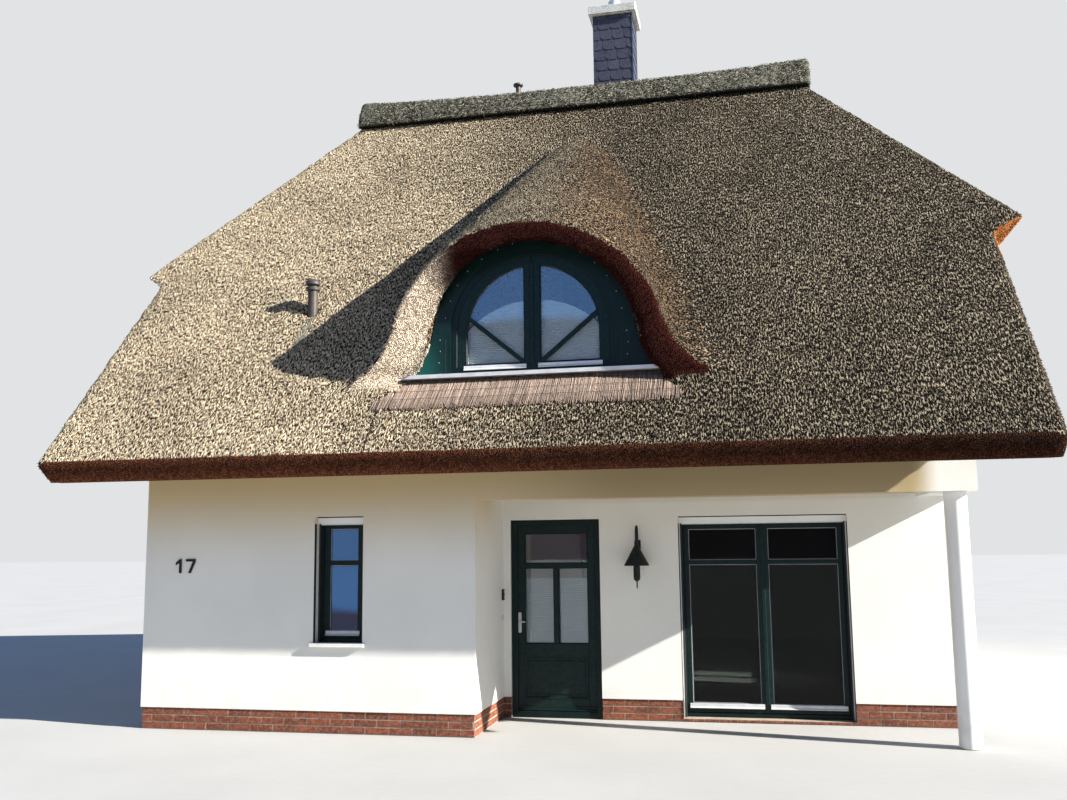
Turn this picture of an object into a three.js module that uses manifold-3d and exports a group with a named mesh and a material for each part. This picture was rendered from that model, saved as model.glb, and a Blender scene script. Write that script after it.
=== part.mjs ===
// A thatched cottage with a half-hipped roof, a swept dormer over the front
// slope and a porch cut out of the right front corner.
// Millimetres, +Z up, the front faces -Y. The walls are laid out from their
// front left corner, and the whole house is then moved so that the origin lies
// on the ground under the middle of the roof.

import * as THREE from "three";
import { mergeVertices } from "three/addons/utils/BufferGeometryUtils.js";
import Module from "manifold-3d";

const wasm = await Module();
wasm.setup();

// Seat between pieces that touch, and a length beyond every face
const SEAT = 0.3;
const FAR = 30000;

// Walls and floors
const WIDTH = 8490;
const DEPTH = 8600;
const WALL = 365;
const PLINTH_TOP = 220;
const PLINTH_STEP = 15;
const FLOOR_TOP = 50;
const CEILING = 2500;
const UPPER_FLOOR_TOP = 2750;

// Porch in the right front corner
const PORCH_X = 3690;
const PORCH_DEPTH = 1210;
const BEAM_BOTTOM = 2335;
const COLUMN = { x: 8320, y: 200, radius: 103 };

// Roof: the eaves height is that of the upper edge of the thatch
const PITCH = 48.1;
const EAVE_OVERHANG = 800;
const EAVE_TOP = 2770;
const THATCH = 230;
const CUT_LEAN = 0.43;
const VERGE_LEFT = -830;
const VERGE_RIGHT = 9100;
const HIP_LEFT = { tip: -1130, pitch: 55.94 };
const HIP_RIGHT = { tip: 9470, pitch: 53.9 };
const HIP_EAVE_TOP = 5355;
const HIP_CUT_LEAN = 1.7;

// Ridge cap
const CAP_HALF_WIDTH = 250;
const CAP_EDGE = 95;
const CAP_RISE = 130;
const CAP_END_RISE = 75;
const CAP_LEFT = 790;
const CAP_RIGHT = 7440;

// Swept dormer: arch of the thatch at its lip, and how it runs up the slope
const DORMER = {
  x: 4290,
  swellX: 4245,
  lipY: -200,
  radius: 1480,
  crest: 5210,
  rise: 0.62,
  taper: 0.25,
  fillet: 800,
  thatch: 260,
  innerStep: 350,
  innerFillet: 550,
  apronY: -350,
  frontY: 50,
  backY: 200,
  baseZ: 3300,
  sillZ: 3600,
  lipFootY: -150,
  lipLean: 0.065,
};
const DORMER_WINDOW = {
  radius: 870,
  glassRadius: 705,
  springZ: 4075,
  bottomZ: 3655,
  glassBottomZ: 3745,
  mullion: 165,
  bar: 32,
  barEndZ: 4265,
  setback: 12,
};
const DORMER_SILL = { halfLength: 1430, front: -70, thickness: 40 };

// Windows: opening in the wall, and the frame's face width and depth
const REVEAL = 140;
const FRAME_DEPTH = 80;
const PANE_SEAT = 40;
const PANE = 24;
const PANE_LAP = 12;
const SHUTTER_BOX = 75;
const SHUTTER_DEPTH = 60;
const GUIDE = 32;
const CROSS_BAR = 48;
const NARROW = { x0: 1950, x1: 2490, z0: 890, z1: 2195 };
const NARROW_FRAME = { stile: 112, bottom: 122, crossBar: 822, top: 127 };
const FRENCH = { x0: 5640, x1: 7410, z0: 30, z1: 2165 };
const FRENCH_FRAME = { stile: 100, meeting: 62, bottom: 140, crossBar: 1635, top: 140 };
const SIDE_FRAME = { stile: 100, meeting: 62, bottom: 122, crossBar: 820, top: 127 };
const SIDE_WINDOW = { width: 1260, z0: 890, z1: 2195 };
const UPPER_WINDOW = { width: 1260, z0: 3600, z1: 4905 };
const LEFT_WINDOW_Y = 5200;
const RIGHT_WINDOW_Y = 3400;
const UPPER_WINDOW_Y = 3670;
const BACK_WINDOW_X = 3360;
const SILL = { overhang: 30, front: 70, thickness: 38, lip: 10 };

// Front door
const DOOR = {
  x0: 3766,
  x1: 4776,
  top: 2150,
  frontY: PORCH_DEPTH + 40,
  depth: 90,
  stopDepth: 25,
  stopWidth: 65,
  jambWidth: 38,
};
const LEAF = { x0: 3816, x1: 4726, z0: 58, top: 2100, thickness: 68, gap: 5 };
const LEAF_GLASS = { x0: 3911, x1: 4631, bar: 46, z0: 785, barZ0: 1620, barZ1: 1665, z1: 2000 };
const LEAF_PANE_DEPTH = 30;
const LEAF_PANEL = { margin: 15, z0: 200, z1: 650, depth: 8 };
const HANDLE = { x0: 3838, x1: 3874, z0: 905, z1: 1130, plate: 8, reach: 55 };
const LEVER = { z: 1029, endX: 3930 };
const HINGE = { x: 4728.5, y: 1358, radius: 9, length: 60, inset: 3, heights: [300, 1050, 1800] };

// Chimney and vent pipes
const STACK = { x0: 4305, x1: 4915, y0: 4730, y1: 5320, top: 9920 };
const STACK_CAP = { overhang: 60, height: 100 };
const FLUE = { radius: 92, height: 260 };
const SLOPE_VENT = { x: 1495, y: 870, top: 5000, radius: 58, capRadius: 85, capHeight: 140 };
const RIDGE_VENT = { x: 3120, y: 4720, top: 8960, radius: 38, capRadius: 75, capHeight: 55 };
const VENT_TAIL = 60;

// Fittings on the porch walls
const LAMP = {
  x: 5200,
  reach: 150,
  shadeZ: 1642,
  shadeRadius: 136,
  collarRadius: 20,
  apexZ: 1905,
  topZ: 2072,
  tube: 13,
  plate: 35,
};
const LAMP_HOLDER = { radius: 36, bottom: 158, finialRadius: 7, finial: 243 };
const BELL = { y0: 1095, y1: 1150, z0: 1270, z1: 1392, depth: 25 };

// Colours of the pieces
const PAINT = {
  render: [0xeef0ea, 0.85],
  brick: [0xa5512f, 0.85],
  concrete: [0xb9b6ae, 0.9],
  thatch: [0x9c8b70, 0.95],
  thatchCap: [0x77755f, 0.95],
  green: [0x0e3b30, 0.45],
  glass: [0x9fb4bd, 0.06],
  white: [0xe8e9e6, 0.5],
  slate: [0x454a57, 0.6],
  zinc: [0xaab0b1, 0.4, 0.8],
  steel: [0xc2c4c4, 0.3, 0.9],
  black: [0x17181a, 0.5],
};

const radians = THREE.MathUtils.degToRad;
const MIDDLE_Y = DEPTH / 2;
const SLOPE = Math.tan(radians(PITCH));
const THATCH_DROP = THATCH / Math.cos(radians(PITCH));
const RIDGE_Z = EAVE_TOP + (MIDDLE_Y + EAVE_OVERHANG) * SLOPE;

const cottage = new THREE.Group();

// Solids and meshes

function toSolid(geometry) {
  const bare = geometry.clone();
  bare.deleteAttribute("normal");
  bare.deleteAttribute("uv");
  const merged = mergeVertices(bare, 1e-3);
  const mesh = new wasm.Mesh({
    numProp: 3,
    vertProperties: new Float32Array(merged.attributes.position.array),
    triVerts: new Uint32Array(merged.index.array),
  });
  return new wasm.Manifold(mesh);
}

function toGeometry(solid) {
  const { vertProperties, triVerts } = solid.getMesh();
  const geometry = new THREE.BufferGeometry();
  geometry.setAttribute("position", new THREE.BufferAttribute(vertProperties, 3));
  geometry.setIndex(new THREE.BufferAttribute(triVerts, 1));
  geometry.computeVertexNormals();
  return geometry;
}

function addPiece(name, solid, [color, roughness, metalness = 0]) {
  const material = new THREE.MeshStandardMaterial({
    color,
    roughness,
    metalness,
    flatShading: true,
  });
  const mesh = new THREE.Mesh(toGeometry(solid), material);
  mesh.name = name;
  cottage.add(mesh);
  return mesh;
}

function box(x0, x1, y0, y1, z0, z1) {
  const geometry = new THREE.BoxGeometry(x1 - x0, y1 - y0, z1 - z0);
  geometry.translate((x0 + x1) / 2, (y0 + y1) / 2, (z0 + z1) / 2);
  return toSolid(geometry);
}

function uprightCylinder(x, y, radius, z0, z1, sides = 32) {
  const geometry = new THREE.CylinderGeometry(radius, radius, z1 - z0, sides);
  geometry.rotateX(Math.PI / 2);
  geometry.translate(x, y, (z0 + z1) / 2);
  return toSolid(geometry);
}

function extrude(outline, length) {
  const shape = new THREE.Shape(outline.map(([a, b]) => new THREE.Vector2(a, b)));
  return new THREE.ExtrudeGeometry(shape, { depth: length, bevelEnabled: false });
}

// Outline in y and z, drawn out from x0 to x1
function prismAlongX(outline, x0, x1) {
  const turn = new THREE.Matrix4().set(0, 0, 1, x0, 1, 0, 0, 0, 0, 1, 0, 0, 0, 0, 0, 1);
  return toSolid(extrude(outline, x1 - x0).applyMatrix4(turn));
}

// Outline in x and z, drawn out from y0 to y1
function prismAlongY(outline, y0, y1) {
  const turn = new THREE.Matrix4().set(1, 0, 0, 0, 0, 0, -1, y1, 0, 1, 0, 0, 0, 0, 0, 1);
  return toSolid(extrude(outline, y1 - y0).applyMatrix4(turn));
}

// Outline in x and y, drawn up from z0 to z1
function prismAlongZ(outline, z0, z1) {
  return toSolid(extrude(outline, z1 - z0).translate(0, 0, z0));
}

// Closed body through sections along y, each an anticlockwise outline in x and z
function loft(sections) {
  const count = sections[0].outline.length;
  const positions = sections.flatMap(({ y, outline }) => outline.flatMap(([x, z]) => [x, y, z]));
  const index = [];
  for (let s = 0; s < sections.length - 1; s += 1) {
    for (let i = 0; i < count; i += 1) {
      const a = s * count + i;
      const b = s * count + ((i + 1) % count);
      index.push(a, a + count, b, b, a + count, b + count);
    }
  }
  const last = (sections.length - 1) * count;
  const capOf = ({ outline }) =>
    THREE.ShapeUtils.triangulateShape(outline.map(([x, z]) => new THREE.Vector2(x, z)), []);
  capOf(sections[0]).forEach(([a, b, c]) => index.push(a, b, c));
  capOf(sections.at(-1)).forEach(([a, b, c]) => index.push(last + a, last + c, last + b));
  const geometry = new THREE.BufferGeometry();
  geometry.setAttribute("position", new THREE.Float32BufferAttribute(positions, 3));
  geometry.setIndex(index);
  return toSolid(geometry);
}

// Large block that ends in a plane through a point and fills the side behind it
function blockBehind(point, normal) {
  const upward = new THREE.Vector3(0, 0, 1);
  const turn = new THREE.Quaternion().setFromUnitVectors(upward, normal.clone().normalize());
  const geometry = new THREE.BoxGeometry(2 * FAR, 2 * FAR, 2 * FAR);
  geometry.translate(0, 0, -FAR);
  geometry.applyQuaternion(turn);
  geometry.translate(point.x, point.y, point.z);
  return toSolid(geometry);
}

// Roof form: everything under the four slopes, each lowered square to itself

const hipApex = ({ tip, pitch }, side) =>
  tip - (side * (RIDGE_Z - HIP_EAVE_TOP)) / Math.tan(radians(pitch));
const APEX_LEFT = hipApex(HIP_LEFT, -1);
const APEX_RIGHT = hipApex(HIP_RIGHT, 1);

function roofHull(depth) {
  const ridge = RIDGE_Z - depth / Math.cos(radians(PITCH));
  const half = ridge / SLOPE;
  const slopes = prismAlongX(
    [[MIDDLE_Y - half, 0], [MIDDLE_Y + half, 0], [MIDDLE_Y, ridge]],
    -FAR,
    FAR,
  );
  const hipX = (apex, pitch, side, z) => {
    const drop = depth / Math.cos(radians(pitch));
    return apex + (side * (RIDGE_Z - drop - z)) / Math.tan(radians(pitch));
  };
  const top = RIDGE_Z + 500;
  const hips = prismAlongY(
    [
      [hipX(APEX_LEFT, HIP_LEFT.pitch, -1, 0), 0],
      [hipX(APEX_RIGHT, HIP_RIGHT.pitch, 1, 0), 0],
      [hipX(APEX_RIGHT, HIP_RIGHT.pitch, 1, top), top],
      [hipX(APEX_LEFT, HIP_LEFT.pitch, -1, top), top],
    ],
    -FAR,
    FAR,
  );
  return slopes.intersect(hips);
}

const slopeZ = (y) => EAVE_TOP + (y + EAVE_OVERHANG) * SLOPE;
const undersideZ = (y) => slopeZ(y) - THATCH_DROP;

// Thatch ends: eaves and verges are cut back a little towards their lower edge

function thatchLimits() {
  const low = EAVE_TOP - 500;
  const high = RIDGE_Z + 500;
  const eave = (z) => MIDDLE_Y + EAVE_OVERHANG + (z - EAVE_TOP) * CUT_LEAN;
  const eaves = prismAlongX(
    [
      [MIDDLE_Y - eave(low), low],
      [MIDDLE_Y + eave(low), low],
      [MIDDLE_Y + eave(high), high],
      [MIDDLE_Y - eave(high), high],
    ],
    -FAR,
    FAR,
  );
  const hipEave = (tip, side, z) => tip + side * (z - HIP_EAVE_TOP) * HIP_CUT_LEAN;
  const cutFoot = (tip, verge) => HIP_EAVE_TOP - Math.abs(tip - verge) / HIP_CUT_LEAN;
  const verges = prismAlongY(
    [
      [VERGE_LEFT, 0],
      [VERGE_RIGHT, 0],
      [VERGE_RIGHT, cutFoot(HIP_RIGHT.tip, VERGE_RIGHT)],
      [hipEave(HIP_RIGHT.tip, 1, high), high],
      [hipEave(HIP_LEFT.tip, -1, high), high],
      [VERGE_LEFT, cutFoot(HIP_LEFT.tip, VERGE_LEFT)],
    ],
    -FAR,
    FAR,
  );
  return eaves.intersect(verges);
}

// Swept dormer: an arch that flares into the slope at its feet. Its crest rises
// more gently than the slope and its radius shrinks, until it runs out.

const crestZ = (y) => DORMER.crest + (y - DORMER.lipY) * DORMER.rise;
const archRadius = (y) => DORMER.radius - (y - DORMER.lipY) * DORMER.taper;
const DORMER_END = (() => {
  const start = DORMER.crest - DORMER.lipY * DORMER.rise;
  return (start - EAVE_TOP - EAVE_OVERHANG * SLOPE) / (SLOPE - DORMER.rise);
})();

// Outline of such an arch, drawn in by an inset
function archOutline({ x: middle, radius, crest, footZ, fillet, floorZ, inset = 0 }) {
  const centreZ = crest - radius;
  const filletZ = footZ + fillet;
  const reach = Math.sqrt((radius + fillet) ** 2 - (filletZ - centreZ) ** 2);
  const spring = Math.atan2(filletZ - centreZ, reach);
  const arc = radius - inset;
  const flare = fillet + inset;
  const foot = -Math.PI / 2 - Math.asin(inset / flare);
  const right = [[reach - inset, floorZ]];
  const filletSteps = 4;
  for (let i = 0; i <= filletSteps; i += 1) {
    const angle = foot + ((spring - Math.PI - foot) * i) / filletSteps;
    right.push([reach + flare * Math.cos(angle), filletZ + flare * Math.sin(angle)]);
  }
  const arcSteps = 7;
  for (let i = 1; i <= arcSteps; i += 1) {
    const angle = spring + ((Math.PI / 2 - spring) * i) / arcSteps;
    right.push([arc * Math.cos(angle), centreZ + arc * Math.sin(angle)]);
  }
  const left = right.slice(0, -1).reverse().map(([x, z]) => [-x, z]);
  return [...right, ...left].map(([x, z]) => [middle + x, z]);
}

function dormerSwell() {
  const stations = 10;
  const start = DORMER.lipY - 150;
  const sections = [];
  for (let s = 0; s <= stations; s += 1) {
    const y = start + ((DORMER_END - start) * s) / stations;
    const foot = slopeZ(y) - 2;
    const radius = archRadius(y);
    const crest = Math.max(crestZ(y), foot + 0.5);
    const fillet = (DORMER.fillet * radius) / DORMER.radius;
    const outline = archOutline({
      x: DORMER.swellX,
      radius,
      crest,
      footZ: foot,
      fillet,
      floorZ: foot - 150,
    });
    sections.push({ y, outline });
  }
  const lip = (z) => DORMER.lipFootY - (z - DORMER.sillZ) * DORMER.lipLean;
  const behindLip = prismAlongX(
    [[lip(2000), 2000], [FAR, 2000], [FAR, 9000], [lip(9000), 9000]],
    -FAR,
    FAR,
  );
  return loft(sections).intersect(behindLip);
}

function roomOutline(y, footZ, floorZ, inset = 0) {
  return archOutline({
    x: DORMER.x,
    radius: archRadius(y) - DORMER.innerStep,
    crest: Math.max(crestZ(y) - DORMER.thatch, footZ + 0.5),
    footZ,
    fillet: (DORMER.innerFillet * archRadius(y)) / DORMER.radius,
    floorZ,
    inset,
  });
}

// Space in front of the dormer's window, over an apron that runs out into the slope
function dormerMouth(inset) {
  const sectionAt = (y, footZ) => ({ y, outline: roomOutline(y, footZ, footZ - 0.5, inset) });
  return loft([
    sectionAt(DORMER.apronY, slopeZ(DORMER.apronY) - 1),
    sectionAt(DORMER.frontY, DORMER.sillZ),
    sectionAt(DORMER.backY, DORMER.sillZ),
  ]);
}

function dormerRoom() {
  const stations = 8;
  const end = DORMER_END + 80;
  const sections = [];
  for (let s = 0; s <= stations; s += 1) {
    const y = DORMER.backY + ((end - DORMER.backY) * s) / stations;
    const foot = Math.max(DORMER.sillZ, undersideZ(y) - 2);
    sections.push({ y, outline: roomOutline(y, foot, foot - 300) });
  }
  return loft(sections);
}

function dormerWall(inset) {
  const sectionAt = (y) => ({
    y,
    outline: roomOutline(y, DORMER.sillZ, DORMER.baseZ - SEAT + inset, inset),
  });
  return loft([sectionAt(DORMER.frontY - SEAT + inset), sectionAt(DORMER.backY + SEAT - inset)]);
}

// Thatch

const RIDGE_LEFT = new THREE.Vector3(APEX_LEFT, MIDDLE_Y, RIDGE_Z);
const RIDGE_RIGHT = new THREE.Vector3(APEX_RIGHT, MIDDLE_Y, RIDGE_Z);
const outward = (x, y, pitch) =>
  new THREE.Vector3(x, y, 0)
    .multiplyScalar(Math.sin(radians(pitch)))
    .add(new THREE.Vector3(0, 0, Math.cos(radians(pitch))));
const FACING = {
  front: outward(0, -1, PITCH),
  back: outward(0, 1, PITCH),
  left: outward(-1, 0, HIP_LEFT.pitch),
  right: outward(1, 0, HIP_RIGHT.pitch),
};

// Keeps the part of a shell that lies on one face's side of the mitre to the next
function mitred(solid, face, neighbour, corner) {
  const normal = FACING[neighbour].clone().sub(FACING[face]).normalize();
  const point = corner.clone().addScaledVector(normal, -SEAT / 2);
  return solid.intersect(blockBehind(point, normal));
}

const outerRoof = roofHull(0);
const innerRoof = roofHull(THATCH);
const limits = thatchLimits();
const clearOfThatch = roofHull(THATCH + SEAT);
const plainShell = outerRoof.subtract(innerRoof).intersect(limits);

function slopePiece(shell, face) {
  const other = face === "front" ? "back" : "front";
  let piece = mitred(shell, face, other, RIDGE_LEFT);
  piece = mitred(piece, face, "left", RIDGE_LEFT);
  return mitred(piece, face, "right", RIDGE_RIGHT);
}

function hipPiece(face, corner) {
  return mitred(mitred(plainShell, face, "front", corner), face, "back", corner);
}

const stackHole = box(
  STACK.x0 - SEAT,
  STACK.x1 + SEAT,
  STACK.y0 - SEAT,
  STACK.y1 + SEAT,
  UPPER_FLOOR_TOP,
  STACK.top,
);
const ventHole = ({ x, y, radius, top }) =>
  uprightCylinder(x, y, radius + SEAT, top - 1500, top, 16);

function frontThatch() {
  const shell = outerRoof
    .add(dormerSwell())
    .subtract(innerRoof)
    .subtract(dormerMouth(0))
    .subtract(dormerRoom())
    .subtract(dormerWall(0))
    .intersect(limits);
  return slopePiece(shell, "front").subtract(ventHole(SLOPE_VENT));
}

function backThatch() {
  return slopePiece(plainShell, "back").subtract(stackHole).subtract(ventHole(RIDGE_VENT));
}

// Ridge cap: a roll over the ridge whose ends turn up
function ridgeCap() {
  const stations = 8;
  const middle = (CAP_LEFT + CAP_RIGHT) / 2;
  const edgeZ = RIDGE_Z - CAP_HALF_WIDTH * SLOPE;
  const outline = (rise) => [
    [-CAP_HALF_WIDTH, edgeZ - 40],
    [CAP_HALF_WIDTH, edgeZ - 40],
    [CAP_HALF_WIDTH + CAP_EDGE, edgeZ],
    [CAP_HALF_WIDTH + 40, edgeZ + CAP_EDGE + rise * 0.4],
    [CAP_HALF_WIDTH * 0.55, RIDGE_Z + rise * 0.8 - 10],
    [CAP_HALF_WIDTH * 0.2, RIDGE_Z + rise - 8],
    [-CAP_HALF_WIDTH * 0.2, RIDGE_Z + rise - 8],
    [-CAP_HALF_WIDTH * 0.55, RIDGE_Z + rise * 0.8 - 10],
    [-CAP_HALF_WIDTH - 40, edgeZ + CAP_EDGE + rise * 0.4],
    [-CAP_HALF_WIDTH - CAP_EDGE, edgeZ],
  ];
  const sections = [];
  for (let s = 0; s <= stations; s += 1) {
    const x = CAP_LEFT + ((CAP_RIGHT - CAP_LEFT) * s) / stations;
    const towardsEnd = Math.abs(x - middle) / (middle - CAP_LEFT);
    const rise = CAP_RISE + CAP_END_RISE * towardsEnd ** 3;
    sections.push({ y: x, outline: outline(rise) });
  }
  const turn = new THREE.Matrix4().set(0, 1, 0, 0, -1, 0, 0, MIDDLE_Y, 0, 0, 1, 0, 0, 0, 0, 1);
  const roll = toSolid(toGeometry(loft(sections)).applyMatrix4(turn));
  return roll.subtract(roofHull(-SEAT));
}

// Walls

function openingThrough({ x0, x1, z0, z1 }, y0, y1) {
  return box(x0, x1, y0 - 10, y1 + 10, z0, z1);
}

const dormerNotch = dormerWall(0).add(dormerRoom());

function buildPlinth() {
  const inner = WALL;
  const step = PLINTH_STEP;
  const backY = DEPTH - WALL;
  const rightX = WIDTH - WALL;
  const sideEnd = backY - SEAT;
  const frenchSill = openingThrough(FRENCH, 0, DEPTH);
  const backSill = box(
    BACK_WINDOW_X,
    BACK_WINDOW_X + FRENCH.x1 - FRENCH.x0,
    backY - 10,
    DEPTH + 10,
    FRENCH.z0,
    FRENCH.z1,
  );
  const front = box(step, PORCH_X - step, step, inner, 0, PLINTH_TOP);
  const porchSide = prismAlongZ(
    [
      [PORCH_X - inner, inner + SEAT],
      [PORCH_X - step, inner + SEAT],
      [PORCH_X - step, PORCH_DEPTH + step],
      [DOOR.x0 - SEAT, PORCH_DEPTH + step],
      [DOOR.x0 - SEAT, PORCH_DEPTH + WALL],
      [PORCH_X - inner, PORCH_DEPTH + WALL],
    ],
    0,
    PLINTH_TOP,
  );
  const porchBack = box(
    DOOR.x1 + SEAT,
    rightX - SEAT,
    PORCH_DEPTH + step,
    PORCH_DEPTH + WALL,
    0,
    PLINTH_TOP,
  ).subtract(frenchSill);
  const left = box(step, inner, inner + SEAT, sideEnd, 0, PLINTH_TOP);
  const right = box(rightX, WIDTH - step, PORCH_DEPTH + step, sideEnd, 0, PLINTH_TOP);
  const back = box(step, WIDTH - step, backY, DEPTH - step, 0, PLINTH_TOP).subtract(backSill);
  addPiece("front_left_plinth", front, PAINT.brick);
  addPiece("porch_side_plinth", porchSide, PAINT.brick);
  addPiece("porch_back_plinth", porchBack, PAINT.brick);
  addPiece("left_plinth", left, PAINT.brick);
  addPiece("right_plinth", right, PAINT.brick);
  addPiece("back_plinth", back, PAINT.brick);
}

function buildFloors() {
  const inside = WALL + SEAT;
  const right = WIDTH - WALL - SEAT;
  const back = DEPTH - WALL - SEAT;
  const roomFront = PORCH_DEPTH + WALL + SEAT;
  const hallX = PORCH_X - WALL - SEAT;
  const frameBack = DOOR.frontY + DOOR.depth + SEAT;
  const ground = prismAlongZ(
    [
      [inside, inside],
      [hallX, inside],
      [hallX, roomFront],
      [DOOR.x0 + SEAT, roomFront],
      [DOOR.x0 + SEAT, frameBack],
      [DOOR.x1 - SEAT, frameBack],
      [DOOR.x1 - SEAT, roomFront],
      [right, roomFront],
      [right, back],
      [inside, back],
    ],
    0,
    FLOOR_TOP,
  );
  addPiece("ground_floor", ground, PAINT.concrete);
  const upper = box(inside, right, inside, back, CEILING, UPPER_FLOOR_TOP);
  addPiece("upper_floor", upper, PAINT.render);
}

function buildWalls() {
  const base = PLINTH_TOP + SEAT;
  const head = CEILING - SEAT;
  const tall = RIDGE_Z;
  const rightX = WIDTH - WALL;
  const backY = DEPTH - WALL;
  const wallBack = PORCH_DEPTH + WALL;

  const frontLeft = box(0, PORCH_X, 0, WALL, base, tall)
    .intersect(clearOfThatch)
    .subtract(openingThrough(NARROW, 0, WALL))
    .subtract(dormerNotch);
  addPiece("front_left_wall", frontLeft, PAINT.render);

  const porchSide = prismAlongZ(
    [
      [PORCH_X - WALL, WALL + SEAT],
      [PORCH_X, WALL + SEAT],
      [PORCH_X, PORCH_DEPTH],
      [DOOR.x0 - SEAT, PORCH_DEPTH],
      [DOOR.x0 - SEAT, wallBack],
      [PORCH_X - WALL, wallBack],
    ],
    base,
    head,
  );
  addPiece("porch_side_wall", porchSide, PAINT.render);

  const porchBack = box(DOOR.x1 + SEAT, rightX - SEAT, PORCH_DEPTH, wallBack, base, head).subtract(
    openingThrough(FRENCH, PORCH_DEPTH, wallBack),
  );
  addPiece("porch_back_wall", porchBack, PAINT.render);

  const lintel = box(DOOR.x0, DOOR.x1, PORCH_DEPTH, wallBack, DOOR.top, head);
  addPiece("door_lintel", lintel, PAINT.render);

  const beam = box(PORCH_X + SEAT, WIDTH, 0, WALL, BEAM_BOTTOM, tall)
    .intersect(clearOfThatch)
    .subtract(dormerNotch);
  addPiece("porch_beam", beam, PAINT.render);

  const column = uprightCylinder(COLUMN.x, COLUMN.y, COLUMN.radius, 0, BEAM_BOTTOM - SEAT, 40);
  addPiece("porch_column", column, PAINT.white);

  const sideHole = (x0, y0, { width, z0, z1 }) =>
    box(x0 - 10, x0 + WALL + 10, y0, y0 + width, z0, z1);
  const leftGable = box(0, WALL, WALL + SEAT, backY - SEAT, base, tall)
    .intersect(clearOfThatch)
    .subtract(sideHole(0, LEFT_WINDOW_Y, SIDE_WINDOW))
    .subtract(sideHole(0, UPPER_WINDOW_Y, UPPER_WINDOW));
  addPiece("left_gable_wall", leftGable, PAINT.render);

  const rightGable = box(rightX, WIDTH, WALL + SEAT, backY - SEAT, base, tall)
    .intersect(clearOfThatch)
    .subtract(box(rightX - 10, WIDTH + 10, 0, PORCH_DEPTH, 0, BEAM_BOTTOM))
    .subtract(sideHole(rightX, RIGHT_WINDOW_Y, SIDE_WINDOW))
    .subtract(sideHole(rightX, UPPER_WINDOW_Y, UPPER_WINDOW));
  addPiece("right_gable_wall", rightGable, PAINT.render);

  const backOpening = {
    x0: BACK_WINDOW_X,
    x1: BACK_WINDOW_X + FRENCH.x1 - FRENCH.x0,
    z0: FRENCH.z0,
    z1: FRENCH.z1,
  };
  const back = box(0, WIDTH, backY, DEPTH, base, tall)
    .intersect(clearOfThatch)
    .subtract(openingThrough(backOpening, backY, DEPTH));
  addPiece("back_wall", back, PAINT.render);
}

// Windows: drawn with the outer face at y = 0 and the room behind it

function windowPieces(name, width, height, panes) {
  let frame = box(SEAT, width - SEAT, 0, FRAME_DEPTH, SEAT, height - SEAT);
  panes.forEach(([x0, x1, z0, z1]) => {
    frame = frame.subtract(box(x0, x1, -10, FRAME_DEPTH + 10, z0, z1));
  });
  const lapX0 = Math.min(...panes.map((pane) => pane[0])) - PANE_LAP;
  const lapX1 = Math.max(...panes.map((pane) => pane[1])) + PANE_LAP;
  const lapZ0 = Math.min(...panes.map((pane) => pane[2])) - PANE_LAP;
  const lapZ1 = Math.max(...panes.map((pane) => pane[3])) + PANE_LAP;
  frame = frame.subtract(box(lapX0, lapX1, PANE_SEAT, FRAME_DEPTH + 10, lapZ0, lapZ1));
  const glass = box(
    lapX0 + SEAT,
    lapX1 - SEAT,
    PANE_SEAT + SEAT,
    PANE_SEAT + SEAT + PANE,
    lapZ0 + SEAT,
    lapZ1 - SEAT,
  );
  return [
    addPiece(`${name}_frame`, frame, PAINT.green),
    addPiece(`${name}_glass`, glass, PAINT.glass),
  ];
}

function place(pieces, x, y, z, turn = 0) {
  pieces.forEach((piece) => {
    piece.position.set(x, y, z);
    piece.rotation.z = radians(turn);
  });
}

// Fields of glass: two leaves or one, each with a cross bar
function fields(width, height, { stile, meeting, bottom, crossBar, top }) {
  const middle = width / 2;
  const columns = meeting
    ? [[stile, middle - meeting], [middle + meeting, width - stile]]
    : [[stile, width - stile]];
  const rows = [[bottom, crossBar - CROSS_BAR / 2], [crossBar + CROSS_BAR / 2, height - top]];
  return columns.flatMap(([x0, x1]) => rows.map(([z0, z1]) => [x0, x1, z0, z1]));
}

function shutterPiece(name, { x0, x1, z0, z1 }, faceY) {
  const front = faceY + REVEAL - SHUTTER_DEPTH;
  const back = faceY + REVEAL - SEAT;
  const boxBottom = z1 - SHUTTER_BOX;
  const shutter = box(x0 + SEAT, x1 - SEAT, front, back, boxBottom, z1 - SEAT)
    .add(box(x0 + SEAT, x0 + GUIDE, front, back, z0 + SEAT, boxBottom + 1))
    .add(box(x1 - GUIDE, x1 - SEAT, front, back, z0 + SEAT, boxBottom + 1));
  addPiece(name, shutter, PAINT.white);
}

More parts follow.
